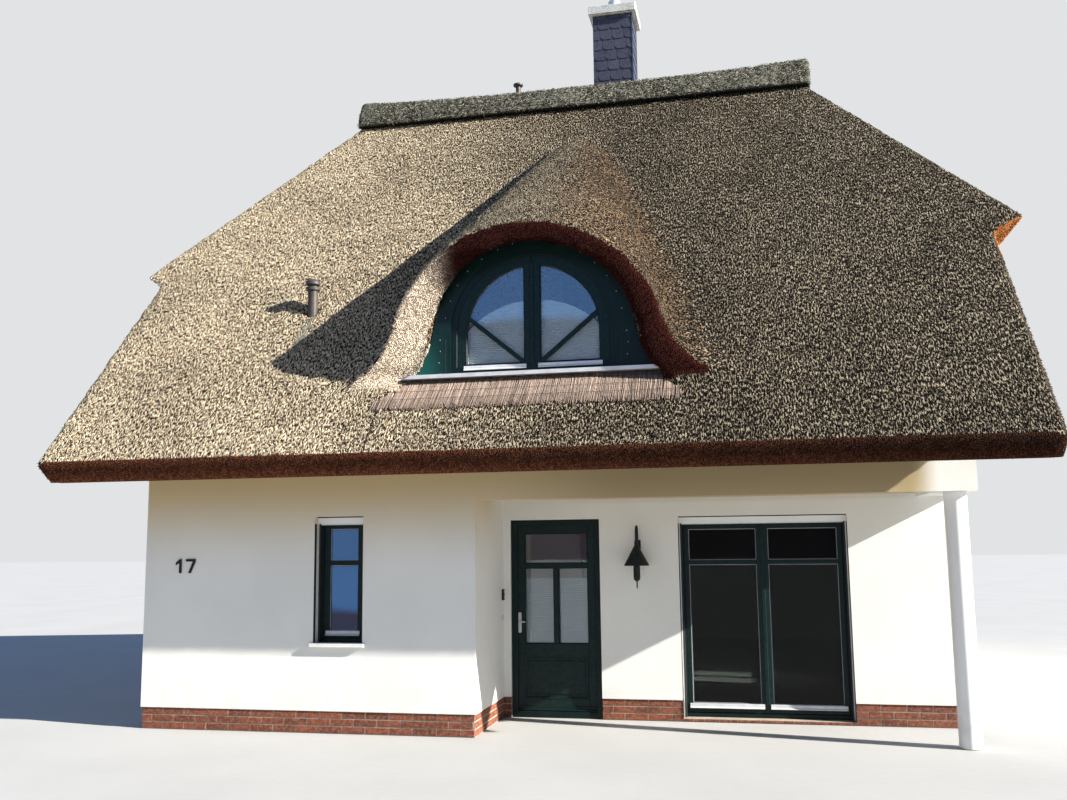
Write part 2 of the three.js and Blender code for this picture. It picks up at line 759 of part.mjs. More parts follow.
function buildWindows() {
  const narrowWidth = NARROW.x1 - NARROW.x0;
  const narrowHeight = NARROW.z1 - NARROW.z0;
  const narrowPanes = fields(narrowWidth, narrowHeight, NARROW_FRAME);
  const narrow = windowPieces("narrow_window", narrowWidth, narrowHeight, narrowPanes);
  place(narrow, NARROW.x0, REVEAL, NARROW.z0);
  shutterPiece("narrow_window_shutter", NARROW, 0);
  const sillTop = NARROW.z0 + SILL.lip;
  const nose = box(
    NARROW.x0 - SILL.overhang,
    NARROW.x1 + SILL.overhang,
    -SILL.front,
    -SEAT,
    NARROW.z0 - SILL.thickness,
    sillTop,
  );
  const tongue = box(
    NARROW.x0 + SEAT,
    NARROW.x1 - SEAT,
    -SILL.lip,
    REVEAL - SHUTTER_DEPTH - SEAT,
    NARROW.z0 + SEAT,
    sillTop,
  );
  addPiece("narrow_window_sill", nose.add(tongue), PAINT.white);

  const frenchWidth = FRENCH.x1 - FRENCH.x0;
  const frenchHeight = FRENCH.z1 - FRENCH.z0;
  const frenchPanes = fields(frenchWidth, frenchHeight, FRENCH_FRAME);
  const french = windowPieces("french_window", frenchWidth, frenchHeight, frenchPanes);
  place(french, FRENCH.x0, PORCH_DEPTH + REVEAL, FRENCH.z0);
  shutterPiece("french_window_shutter", FRENCH, PORCH_DEPTH);

  const backWindow = windowPieces("back_window", frenchWidth, frenchHeight, frenchPanes);
  place(backWindow, BACK_WINDOW_X + frenchWidth, DEPTH - REVEAL, FRENCH.z0, 180);

  const { width } = SIDE_WINDOW;
  const height = SIDE_WINDOW.z1 - SIDE_WINDOW.z0;
  const sidePanes = fields(width, height, SIDE_FRAME);
  const sides = [
    ["left_window", REVEAL, LEFT_WINDOW_Y + width, SIDE_WINDOW.z0, -90],
    ["left_upper_window", REVEAL, UPPER_WINDOW_Y + width, UPPER_WINDOW.z0, -90],
    ["right_window", WIDTH - REVEAL, RIGHT_WINDOW_Y, SIDE_WINDOW.z0, 90],
    ["right_upper_window", WIDTH - REVEAL, UPPER_WINDOW_Y, UPPER_WINDOW.z0, 90],
  ];
  sides.forEach(([name, x, y, z, turn]) => {
    place(windowPieces(name, width, height, sidePanes), x, y, z, turn);
  });
}

// Front door: the leaf lies behind the frame's stop and opens into the house

function buildDoor() {
  const back = DOOR.frontY + DOOR.depth;
  const stopBack = DOOR.frontY + DOOR.stopDepth;
  let frame = box(DOOR.x0 + SEAT, DOOR.x1 - SEAT, DOOR.frontY, back, 0, DOOR.top - SEAT)
    .subtract(box(
      DOOR.x0 + DOOR.stopWidth,
      DOOR.x1 - DOOR.stopWidth,
      DOOR.frontY - 10,
      stopBack + 1,
      FLOOR_TOP,
      DOOR.top - DOOR.stopWidth,
    ))
    .subtract(box(
      DOOR.x0 + DOOR.jambWidth,
      DOOR.x1 - DOOR.jambWidth,
      stopBack,
      back + 10,
      FLOOR_TOP,
      DOOR.top - DOOR.jambWidth,
    ));
  const leafFront = stopBack + LEAF.gap;
  const leafBack = leafFront + LEAF.thickness;
  let leaf = box(LEAF.x0, LEAF.x1, leafFront, leafBack, LEAF.z0, LEAF.top);
  const { x0, x1, bar, z0, barZ0, barZ1, z1 } = LEAF_GLASS;
  const middle = (x0 + x1) / 2;
  const panes = [
    [x0, x1, barZ1, z1],
    [x0, middle - bar / 2, z0, barZ0],
    [middle + bar / 2, x1, z0, barZ0],
  ];
  panes.forEach((pane) => {
    leaf = leaf.subtract(box(pane[0], pane[1], leafFront - 10, leafBack + 10, pane[2], pane[3]));
  });
  const paneFront = leafFront + LEAF_PANE_DEPTH;
  leaf = leaf
    .subtract(box(
      x0 - PANE_LAP,
      x1 + PANE_LAP,
      paneFront,
      leafBack + 10,
      z0 - PANE_LAP,
      z1 + PANE_LAP,
    ))
    .subtract(box(
      x0 - LEAF_PANEL.margin,
      x1 + LEAF_PANEL.margin,
      leafFront - 10,
      leafFront + LEAF_PANEL.depth,
      LEAF_PANEL.z0,
      LEAF_PANEL.z1,
    ));
  const glass = box(
    x0 - PANE_LAP + SEAT,
    x1 + PANE_LAP - SEAT,
    paneFront + SEAT,
    paneFront + SEAT + PANE,
    z0 - PANE_LAP + SEAT,
    z1 + PANE_LAP - SEAT,
  );
  HINGE.heights.forEach((z) => {
    const middleZ = z + HINGE.length;
    const topZ = middleZ + HINGE.length;
    frame = frame
      .add(uprightCylinder(HINGE.x, HINGE.y, HINGE.radius, z, middleZ - SEAT, 16))
      .add(box(HINGE.x, DOOR.x1 - 10, back - 1, HINGE.y - HINGE.inset, z, middleZ - SEAT));
    leaf = leaf
      .add(uprightCylinder(HINGE.x, HINGE.y, HINGE.radius, middleZ, topZ, 16))
      .add(box(LEAF.x1 - 40, HINGE.x, leafBack - 1, HINGE.y - HINGE.inset, middleZ, topZ));
  });
  addPiece("door_frame", frame, PAINT.green);
  addPiece("door_leaf", leaf, PAINT.green);
  addPiece("door_glass", glass, PAINT.glass);

  const plateBack = leafFront - SEAT;
  const plateFront = plateBack - HANDLE.plate;
  const leverFront = leafFront - HANDLE.reach;
  const half = HANDLE.plate;
  const plate = box(HANDLE.x0, HANDLE.x1, plateFront, plateBack, HANDLE.z0, HANDLE.z1);
  const neckX = (HANDLE.x0 + HANDLE.x1) / 2;
  const handle = plate
    .add(box(
      neckX - half,
      neckX + half,
      leverFront,
      plateFront + 1,
      LEVER.z - half,
      LEVER.z + half,
    ))
    .add(box(
      neckX - half,
      LEVER.endX,
      leverFront,
      leverFront + 2 * half,
      LEVER.z - half - 2,
      LEVER.z + half + 2,
    ));
  addPiece("door_handle", handle, PAINT.steel);
}

// Dormer front: boarded arch with an arched two-leaf window and a sill

function arch(radius, bottom, y0, y1) {
  const steps = 28;
  const outline = [[-radius, bottom], [radius, bottom]];
  for (let i = 0; i <= steps; i += 1) {
    const angle = (Math.PI * i) / steps;
    outline.push([radius * Math.cos(angle), DORMER_WINDOW.springZ + radius * Math.sin(angle)]);
  }
  return prismAlongY(outline.map(([x, z]) => [DORMER.x + x, z]), y0, y1);
}

function buildDormer() {
  const { radius, glassRadius, bottomZ, glassBottomZ } = DORMER_WINDOW;
  const { mullion, bar, barEndZ, setback } = DORMER_WINDOW;
  const opening = arch(radius, bottomZ, DORMER.frontY - 10, DORMER.backY + 10);
  addPiece("dormer_front", dormerWall(SEAT).subtract(opening), PAINT.green);

  const front = DORMER.frontY + setback;
  const paneY = front + PANE_SEAT;
  const back = front + FRAME_DEPTH;
  const through = arch(glassRadius, glassBottomZ, front - 10, back + 10);
  const centre = box(
    DORMER.x - mullion / 2,
    DORMER.x + mullion / 2,
    front,
    paneY,
    bottomZ + 10,
    DORMER_WINDOW.springZ + glassRadius + 10,
  );
  const diagonal = (side) => {
    const foot = [DORMER.x + (side * mullion) / 2, glassBottomZ - 5];
    const end = [DORMER.x + side * (glassRadius + 30), barEndZ];
    const along = new THREE.Vector2(end[0] - foot[0], end[1] - foot[1]).normalize();
    const off = [(-along.y * bar) / 2, (along.x * bar) / 2];
    return prismAlongY(
      [
        [foot[0] + off[0], foot[1] + off[1]],
        [foot[0] - off[0], foot[1] - off[1]],
        [end[0] - off[0], end[1] - off[1]],
        [end[0] + off[0], end[1] + off[1]],
      ],
      front + 4,
      paneY,
    );
  };
  const bars = centre.add(diagonal(-1)).add(diagonal(1));
  const frame = arch(radius - SEAT, bottomZ + SEAT, front, back)
    .subtract(through)
    .add(bars.intersect(arch(radius - SEAT, bottomZ + SEAT, front, back)))
    .subtract(arch(glassRadius + PANE_LAP, glassBottomZ - PANE_LAP, paneY, back + 10));
  addPiece("dormer_window_frame", frame, PAINT.green);

  const pane = arch(
    glassRadius + PANE_LAP - SEAT,
    glassBottomZ - PANE_LAP + SEAT,
    paneY + SEAT,
    paneY + SEAT + PANE,
  );
  addPiece("dormer_window_glass", pane, PAINT.glass);

  const sill = box(
    DORMER.x - DORMER_SILL.halfLength,
    DORMER.x + DORMER_SILL.halfLength,
    DORMER_SILL.front,
    DORMER.frontY - SEAT,
    DORMER.sillZ + SEAT,
    DORMER.sillZ + DORMER_SILL.thickness,
  ).intersect(dormerMouth(SEAT));
  addPiece("dormer_sill", sill, PAINT.white);
}

function buildRoof() {
  addPiece("thatch_front", frontThatch(), PAINT.thatch);
  addPiece("thatch_back", backThatch(), PAINT.thatch);
  addPiece("half_hip_left", hipPiece("left", RIDGE_LEFT), PAINT.thatch);
  addPiece("half_hip_right", hipPiece("right", RIDGE_RIGHT), PAINT.thatch);
  addPiece("ridge_cap", ridgeCap(), PAINT.thatchCap);
}

// Chimney and vent pipes

function ventPipe({ x, y, top, radius, capRadius, capHeight }, foot) {
  const capBottom = top - capHeight;
  return uprightCylinder(x, y, radius, foot, capBottom + 1, 16)
    .add(uprightCylinder(x, y, capRadius, capBottom, top, 24));
}

function buildChimney() {
  const { x0, x1, y0, y1, top } = STACK;
  const { overhang, height } = STACK_CAP;
  addPiece("chimney_stack", box(x0, x1, y0, y1, UPPER_FLOOR_TOP + SEAT, top), PAINT.slate);
  const cap = box(
    x0 - overhang,
    x1 + overhang,
    y0 - overhang,
    y1 + overhang,
    top + SEAT,
    top + height,
  );
  addPiece("chimney_cap", cap, PAINT.zinc);
  const flueFoot = top + height + SEAT;
  const middleX = (x0 + x1) / 2;
  const middleY = (y0 + y1) / 2;
  const flue = uprightCylinder(middleX, middleY, FLUE.radius, flueFoot, flueFoot + FLUE.height, 24)
    .subtract(uprightCylinder(middleX, middleY, FLUE.radius - 6, flueFoot + 20, FAR, 24));
  addPiece("chimney_flue", flue, PAINT.steel);
  addPiece("slope_vent", ventPipe(SLOPE_VENT, undersideZ(SLOPE_VENT.y) - VENT_TAIL), PAINT.black);
  const ridgeVentFoot = undersideZ(DEPTH - RIDGE_VENT.y) - VENT_TAIL;
  addPiece("ridge_vent", ventPipe(RIDGE_VENT, ridgeVentFoot), PAINT.black);
}

// Wall lamp: a round wall plate, a swan neck and a cone shade over its lamp holder

function lathed(profile, x, y) {
  const geometry = new THREE.LatheGeometry(profile.map(([r, z]) => new THREE.Vector2(r, z)), 24);
  geometry.rotateX(Math.PI / 2);
  geometry.translate(x, y, 0);
  return toSolid(geometry);
}

function buildFittings() {
  const { x, reach, shadeZ, shadeRadius, collarRadius, apexZ, topZ, plate } = LAMP;
  const { radius, bottom, finialRadius, finial } = LAMP_HOLDER;
  const wallY = PORCH_DEPTH - SEAT;
  const lampY = wallY - reach;
  const shade = lathed(
    [
      [0, shadeZ - finial],
      [finialRadius, shadeZ - finial],
      [finialRadius, shadeZ - bottom],
      [radius * 0.75, shadeZ - bottom],
      [radius, shadeZ - bottom * 0.8],
      [radius, shadeZ - 10],
      [radius * 0.85, shadeZ + 60],
      [shadeRadius - 5, shadeZ],
      [shadeRadius, shadeZ],
      [collarRadius, apexZ - 45],
      [collarRadius, apexZ],
      [0, apexZ],
    ],
    x,
    lampY,
  );
  const neckRoute = new THREE.CatmullRomCurve3([
    new THREE.Vector3(x, wallY - 16, apexZ - 45),
    new THREE.Vector3(x, wallY - 32, apexZ - 20),
    new THREE.Vector3(x, wallY - 42, topZ - 50),
    new THREE.Vector3(x, wallY - reach / 2 - 15, topZ - 10),
    new THREE.Vector3(x, lampY + 3, topZ - 50),
    new THREE.Vector3(x, lampY, apexZ - 10),
  ]);
  const ring = new THREE.Shape().absarc(0, 0, LAMP.tube, 0, 2 * Math.PI);
  const neck = toSolid(
    new THREE.ExtrudeGeometry(ring, {
      steps: 20,
      extrudePath: neckRoute,
      curveSegments: 5,
      bevelEnabled: false,
    }),
  );
  const wallPlate = box(x - plate, x + plate, wallY - 10, wallY, apexZ - 90, apexZ + 10);
  addPiece("wall_lamp", shade.add(neck).add(wallPlate), PAINT.black);

  const bell = box(PORCH_X + SEAT, PORCH_X + BELL.depth, BELL.y0, BELL.y1, BELL.z0, BELL.z1);
  addPiece("doorbell", bell, PAINT.black);
}

buildPlinth();
buildFloors();
buildWalls();
buildWindows();
buildDoor();
buildDormer();
buildRoof();
buildChimney();
buildFittings();

cottage.position.set(-(HIP_LEFT.tip + HIP_RIGHT.tip) / 2, -MIDDLE_Y, 0);

const house = new THREE.Group();
house.add(cottage);

export default house;
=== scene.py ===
import math

import bmesh
import bpy
import numpy as np
from bpy.props import FloatProperty, FloatVectorProperty, IntProperty, PointerProperty
from mathutils import Matrix, Vector, noise


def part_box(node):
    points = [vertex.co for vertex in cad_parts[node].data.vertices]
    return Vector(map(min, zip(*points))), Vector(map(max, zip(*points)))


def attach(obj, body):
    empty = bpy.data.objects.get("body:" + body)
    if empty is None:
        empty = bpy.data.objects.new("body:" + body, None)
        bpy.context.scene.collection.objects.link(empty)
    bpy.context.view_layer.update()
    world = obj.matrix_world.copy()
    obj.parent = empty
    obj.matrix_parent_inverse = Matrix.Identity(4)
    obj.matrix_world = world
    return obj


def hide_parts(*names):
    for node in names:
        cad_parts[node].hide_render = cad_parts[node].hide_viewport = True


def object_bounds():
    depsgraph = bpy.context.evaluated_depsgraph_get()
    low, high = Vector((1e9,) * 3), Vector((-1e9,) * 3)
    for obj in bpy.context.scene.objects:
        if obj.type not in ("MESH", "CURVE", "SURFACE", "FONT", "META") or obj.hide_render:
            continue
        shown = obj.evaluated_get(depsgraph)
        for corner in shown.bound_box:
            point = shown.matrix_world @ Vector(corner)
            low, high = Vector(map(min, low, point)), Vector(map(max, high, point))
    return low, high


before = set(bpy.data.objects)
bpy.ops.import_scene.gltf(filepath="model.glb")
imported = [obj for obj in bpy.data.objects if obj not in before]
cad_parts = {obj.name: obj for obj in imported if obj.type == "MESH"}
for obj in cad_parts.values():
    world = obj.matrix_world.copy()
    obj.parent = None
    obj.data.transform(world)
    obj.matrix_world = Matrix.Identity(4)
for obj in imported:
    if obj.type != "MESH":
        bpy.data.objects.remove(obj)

bl_info = {
    "name": "Thatched Cottage",
    "version": (1, 0, 0),
    "blender": (4, 5, 0),
    "location": "View3D > Sidebar > Cottage",
    "description": "Dresses the thatched cottage's frame with reed, brick, slate and joinery",
    "category": "Object",
}

CAD_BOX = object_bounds()
HOUSE = "cottage"
DOOR = "front_door"
SLOPE = math.radians(48.1)
THATCH_NODES = ("thatch_front", "thatch_back", "half_hip_left", "half_hip_right")

# Distances of the origin from the walls' front left corner
CORNER_X, CORNER_Y = 4.17, 4.30


# Settings; all colours are linear

def length(name, text, default, low=0.0005, high=50.0):
    return FloatProperty(name=name, description=text, default=default, min=low, max=high,
                         unit="LENGTH", precision=4)


def angle(name, text, degrees):
    return FloatProperty(name=name, description=text, default=math.radians(degrees),
                         subtype="ANGLE")


def amount(name, text, default, low, high):
    return IntProperty(name=name, description=text, default=default, min=low, max=high)


def colour(name, text, default):
    return FloatVectorProperty(name=name, description=text, default=default, size=3,
                               min=0, max=1, subtype="COLOR")


class ThatchSettings(bpy.types.PropertyGroup):
    """Reed of the roof and its ridge"""
    straw: colour("Straw", "Colour of the reed ends in the light", (0.48, 0.415, 0.295))
    brown: colour("Brown", "Colour of the reed between the ends", (0.118, 0.084, 0.056))
    # Painted shade: near black, standing for the shadow deep between the reeds
    hollow_shade: colour("Hollow", "Colour deep between the reeds", (0.009, 0.007, 0.007))
    cut: colour("Cut", "Colour of the cut eaves", (0.29, 0.105, 0.052))
    # Painted light on the dormer's cut lip: the first colour is its painted shade, the next its left
    # side in painted sunlight
    lip: colour("Lip", "Colour of the dormer's cut lip", (0.058, 0.012, 0.008))
    sunlit: colour("Bleached", "Colour of the lip's bleached left side", (1.0, 0.87, 0.70))
    right_hip_cut: colour("Fresh", "Colour of the right half-hip's cut", (0.60, 0.23, 0.07))
    ridge: colour("Ridge", "Colour of the ridge roll", (0.150, 0.146, 0.118))
    apron: colour("Apron", "Colour of the reed below the dormer's sill", (0.39, 0.30, 0.245))
    grid: length("Grid", "Spacing of the roof's faces", 0.039, 0.02, 0.2)
    ridge_grid: length("Ridge grid", "Spacing of the ridge roll's faces", 0.026, 0.02, 0.2)
    relief: length("Relief", "Depth of the reed's surface", 0.010, 0.001, 0.05)
    ends: amount("Reed ends", "Reed ends that stand out of the front slope", 80000, 100, 90000)
    cut_ends: amount("Cut ends", "Reed ends that stand out of the cut faces", 17000, 100, 40000)
    end_length: length("End length", "Length of a reed end", 0.026, 0.01, 0.2)
    end_width: length("End width", "Width of a reed end", 0.0095, 0.003, 0.05)
    apron_reeds: amount("Apron reeds", "Reeds below the dormer's sill", 3000, 10, 6000)
    twigs: amount("Twigs", "Twigs that stand out of the ridge roll", 15000, 100, 40000)


class WallSettings(bpy.types.PropertyGroup):
    """Walls, plinth and column"""
    render: colour("Render", "Colour of the wall render", (0.80, 0.80, 0.765))
    brick: colour("Brick", "Colour of the plinth's bricks", (0.150, 0.038, 0.016))
    # Painted shade: the warm colour painted on the render where the eaves shade it
    eaves_shade: colour("Under eaves", "Tint of the render below the eaves", (0.80, 0.62, 0.34))
    mortar: colour("Mortar", "Colour of the joints", (0.34, 0.29, 0.23))
    brick_length: length("Brick length", "Length of a brick", 0.24, 0.05, 0.6)
    joint: length("Joint", "Width of a joint", 0.012, 0.002, 0.03)
    courses: amount("Courses", "Courses of brick in the plinth", 3, 1, 10)


class JoinerySettings(bpy.types.PropertyGroup):
    """Windows and door"""
    paint: colour("Paint", "Colour of frames and door", (0.0024, 0.0115, 0.0110))
    # Boards also gives the lighter green of the painted sunlight at the dormer front's lower left
    boards: colour("Boards", "Colour of the dormer's boarded front", (0.003, 0.024, 0.021))
    glass: colour("Glass", "Colour of the glass in front of blinds", (0.97, 0.985, 0.985))
    # Painted reflection and shade: the narrow window's glass tinted dark blue for the sky it mirrors
    # and the dark room behind
    painted_sky_glass: colour("Sky glass", "Colour of the narrow window's glass", (0.22, 0.30, 0.36))
    # Painted shade: glass tinted dark so that the rooms behind it look dark
    room_shade_glass: colour("Dark glass", "Colour of the glass before the rooms", (0.26, 0.29, 0.29))
    trim: colour("Trim", "Colour of shutter boxes and sills", (0.78, 0.78, 0.76))
    blind: colour("Blind", "Colour of the blinds", (0.82, 0.97, 0.97))
    slat: length("Slat", "Height of a blind's slat", 0.021, 0.005, 0.1)


class ChimneySettings(bpy.types.PropertyGroup):
    """Chimney and pipes"""
    slate: colour("Slate", "Colour of the slates", (0.034, 0.035, 0.056))
    slate_width: length("Slate width", "Width of a slate", 0.182, 0.05, 0.4)
    slate_rise: length("Slate rise", "Height of a row of slates", 0.165, 0.05, 0.4)
    metal: colour("Metal", "Colour of the chimney's cap", (0.50, 0.49, 0.43))
    pipe: colour("Pipe", "Colour of the vent pipes", (0.052, 0.043, 0.038))


class StageSettings(bpy.types.PropertyGroup):
    """Floor, light and camera"""
    floor: colour("Floor", "Colour of the floor", (0.36, 0.36, 0.352))
    sun_turn: angle("Sun turn", "Turn of the light, from the front towards the right", 78.6)
    sun_height: angle("Sun height", "Height of the light above the horizon", 25.8)
    sun_size: angle("Sun size", "Angle that the light covers, for soft shadows", 0.6)
    sun_power: FloatProperty(name="Sun power", description="Strength of the light", default=14.5)
    sky_power: FloatProperty(name="Sky power", description="Strength of the soft light",
                             default=0.52)


class CottageSettings(bpy.types.PropertyGroup):
    """All settings of the cottage"""
    thatch: PointerProperty(type=ThatchSettings)
    walls: PointerProperty(type=WallSettings)
    joinery: PointerProperty(type=JoinerySettings)
    chimney: PointerProperty(type=ChimneySettings)
    stage: PointerProperty(type=StageSettings)


def settings():
    return bpy.context.scene.cottage


# Shader nodes

def fill(tree, socket, value):
    """Joins a socket to another one or sets its value."""
    if isinstance(value, bpy.types.NodeSocket):
        tree.links.new(value, socket)
    else:
        socket.default_value = value


def put(tree, kind, sockets=None, **values):
    """Adds a node, sets its values, and fills its sockets."""
    made = tree.nodes.new("ShaderNode" + kind)
    for name, value in values.items():
        setattr(made, name, value)
    for key, value in (sockets or {}).items():
        fill(tree, made.inputs[key], value)
    return made


def calc(tree, operation, a, b=0.0, clamp=False):
    return put(tree, "Math", {0: a, 1: b}, operation=operation, use_clamp=clamp).outputs[0]


def fade(tree, value, low, high, to_low=0.0, to_high=1.0):
    """Maps a value's range to another, with soft ends."""
    return put(tree, "MapRange", {"Value": value, "From Min": low, "From Max": high,
                                  "To Min": to_low, "To Max": to_high},
               interpolation_type="SMOOTHSTEP").outputs[0]


def mix(tree, factor, a, b, how="MIX"):
    """Mixes two colours."""
    made = put(tree, "Mix", {0: factor}, data_type="RGBA", blend_type=how)
    for socket, value in ((made.inputs[6], a), (made.inputs[7], b)):
        fill(tree, socket, value if isinstance(value, bpy.types.NodeSocket) else (*value, 1))
    return made.outputs[2]


def times(tree, a, b, clamp=False):
    return calc(tree, "MULTIPLY", a, b, clamp)


def grey(tree, value):
    return put(tree, "CombineColor", {0: value, 1: value, 2: value}).outputs[0]


def toned(tree, rgb, value):
    """A colour made lighter or darker by a value."""
    return mix(tree, 1.0, rgb, grey(tree, value), "MULTIPLY")


def axes(tree, vector):
    """The x, y and z of a vector."""
    return put(tree, "SeparateXYZ", {0: vector}).outputs


def grains(tree, vector, scale, detail=3.0, rough=0.6):
    return put(tree, "TexNoise", {"Vector": vector, "Scale": scale, "Detail": detail,
                                  "Roughness": rough}).outputs[0]


def patches(tree, vector, scale, detail, low, high, to_low=0.0, to_high=1.0):
    """Soft-edged patches of noise."""
    return fade(tree, grains(tree, vector, scale, detail), low, high, to_low, to_high)


def by_chance(tree):
    """A random value for each separate body of a mesh."""
    return put(tree, "NewGeometry").outputs["Random Per Island"]


def shaded(rgb, factor):
    return tuple(min(1.0, c * factor) for c in rgb)


def group(name, inputs, outputs):
    """A new shader group with named sockets: its tree, what it is given, what it puts out."""
    tree = bpy.data.node_groups.new(name, "ShaderNodeTree")
    for title, kind, value in inputs:
        socket = tree.interface.new_socket(title, in_out="INPUT", socket_type="NodeSocket" + kind)
        if value is not None:
            socket.default_value = value
    for title, kind in outputs:
        tree.interface.new_socket(title, in_out="OUTPUT", socket_type="NodeSocket" + kind)
    given = tree.nodes.new("NodeGroupInput").outputs
    return tree, given, tree.nodes.new("NodeGroupOutput").inputs


def place_group(tree, name, sockets):
    made = tree.nodes.new("ShaderNodeGroup")
    made.node_tree = bpy.data.node_groups[name]
    for key, value in sockets.items():
        fill(tree, made.inputs[key], value)
    return made


def tone_group():
    tree, given, out = group("Uneven tone", [("Vector", "Vector", None), ("Scale", "Float", 3.0)],
                             [("Mask", "Float"), ("Grain", "Float")])
    broad = grains(tree, given[0], given[1], 4, 0.55)
    grain = grains(tree, given[0], times(tree, given[1], 14.0), 3, 0.7)
    tree.links.new(fade(tree, broad, 0.3, 0.7), out[0])
    tree.links.new(grain, out[1])


def wear_group():
    tree, given, out = group("Worn edges", [("Vector", "Vector", None), ("Amount", "Float", 0.5)],
                             [("Mask", "Float")])
    edge = fade(tree, put(tree, "NewGeometry").outputs["Pointiness"], 0.52, 0.60)
    broken = patches(tree, given[0], 35.0, 4, 0.42, 0.62)
    tree.links.new(times(tree, times(tree, edge, broken), given[1], True), out[0])


def dust_group():
    tree, given, out = group("Dust", [("Vector", "Vector", None), ("Height", "Float", 0.5),
                                      ("Amount", "Float", 0.3)], [("Mask", "Float")])
    low = put(tree, "MapRange", {"Value": axes(tree, given[0])[2], "From Min": 0.0,
                                 "From Max": given[1], "To Min": 1.0, "To Max": 0.0}).outputs[0]
    dust = times(tree, low, patches(tree, given[0], 6.0, 5, 0.3, 0.75))
    tree.links.new(times(tree, dust, given[2], True), out[0])


def sheen_group():
    """Painted light on the reed: lighter on the left, where the sunlit sides of the reed ends face the
    camera, darker on the right, where their shaded sides do.
    """
    tree, given, out = group("Painted reed sheen", [("Vector", "Vector", None),
                                                ("Left", "Float", 1.24),
                                                ("Right", "Float", 0.22)], [("Tone", "Float")])
    x, y, z = axes(tree, given[0])
    wander = times(tree, grains(tree, given[0], 0.5, 3), 2.4)
    across = calc(tree, "ADD", calc(tree, "ADD", x, wander), times(tree, z, 0.25))
    sided = fade(tree, across, -0.6, 4.1, given[1], given[2])
    cloud = patches(tree, given[0], 0.9, 4, 0.3, 0.7, 0.82, 1.16)
    tree.links.new(times(tree, sided, cloud), out[0])


def cut_group():
    """Colour of cut reed by its place: eaves, dormer's lip and the right half-hip, with painted light
    and shade on the eaves and the lip.
    """
    tree, given, out = group("Cut reed", [("Vector", "Vector", None)], [("Color", "Color")])
    t = settings().thatch
    x, y, z = axes(tree, given[0])
    # Painted light on the eaves' cut: darker to the right, as with the reed's sheen, and darker at its
    # top in the overhang's painted shadow
    eaves = mix(tree, fade(tree, x, *EAVES_SPAN), tuple(t.cut), shaded(t.cut, 0.34))
    eaves = toned(tree, eaves, fade(tree, z, *EAVES_RISE, 1.5, 0.5))
    # Painted light: the lip's left side drawn sunlit and the rest of it in painted shade
    aside = [ARCH["x"] + edge for edge in LIP_SUNLIT]
    lip = mix(tree, fade(tree, x, *aside), tuple(t.sunlit), tuple(t.lip))
    tone = mix(tree, fade(tree, y, *LIP_START), eaves, lip)
    # The right half-hip's cut in a brighter, more orange colour
    right = times(tree, fade(tree, x, *RIGHT_HIP_SIDE), fade(tree, z, *RIGHT_HIP_RISE))
    tree.links.new(mix(tree, right, tone, tuple(t.right_hip_cut)), out[0])


def build_groups():
    """Makes the effects that materials share, the first time that one asks."""
    if "Dust" in bpy.data.node_groups:
        return
    tone_group()
    wear_group()
    dust_group()
    sheen_group()
    cut_group()


def new_material(name):
    """A material with only its output, a Principled shader and object coordinates."""
    build_groups()
    made = bpy.data.materials.new("cottage_" + name)
    made.use_nodes = True
    tree = made.node_tree
    tree.nodes.clear()
    out = put(tree, "OutputMaterial")
    shader = put(tree, "BsdfPrincipled")
    tree.links.new(shader.outputs[0], out.inputs[0])
    place = put(tree, "TexCoord").outputs["Object"]
    return made, tree, shader, place


def bump(tree, shader, height, depth, strength=1.0, normal=None):
    sockets = {"Height": height, "Distance": depth, "Strength": strength}
    if normal:
        sockets["Normal"] = normal
    made = put(tree, "Bump", sockets).outputs[0]
    tree.links.new(made, shader.inputs["Normal"])
    return made


def surface(shader, roughness, shine):
    shader.inputs["Roughness"].default_value = roughness
    shader.inputs["Specular IOR Level"].default_value = shine


def coated(name, rgb, roughness=0.5, tone=0.12, scale=3.0, grain=0.0004, wear=0.0, worn=None,
           dust=0.0, metal=0.0, spread=0.0, shine=0.5):
    """A finish with uneven tone, fine relief, worn edges and dust near the ground."""
    made, tree, shader, place = new_material(name)
    uneven = place_group(tree, "Uneven tone", {"Vector": place, "Scale": scale})
    result = mix(tree, uneven.outputs[0], shaded(rgb, 1 - tone), shaded(rgb, 1 + tone))
    if spread:
        result = mix(tree, times(tree, by_chance(tree), spread), result, shaded(rgb, 0.35))
    if wear:
        edges = place_group(tree, "Worn edges", {"Vector": place, "Amount": wear})
        result = mix(tree, edges.outputs[0], result, worn or shaded(rgb, 1.9))
    if dust:
        dusty = place_group(tree, "Dust", {"Vector": place, "Height": 0.6, "Amount": dust})
        result = mix(tree, dusty.outputs[0], result, (0.30, 0.27, 0.22))
    tree.links.new(result, shader.inputs["Base Color"])
    rough = fade(tree, uneven.outputs[1], 0.2, 0.8, roughness * 0.8, min(1, roughness * 1.2))
    tree.links.new(rough, shader.inputs["Roughness"])
    shader.inputs["Metallic"].default_value = metal
    shader.inputs["Specular IOR Level"].default_value = shine
    bump(tree, shader, uneven.outputs[1], grain)
    return made


# Mesh making

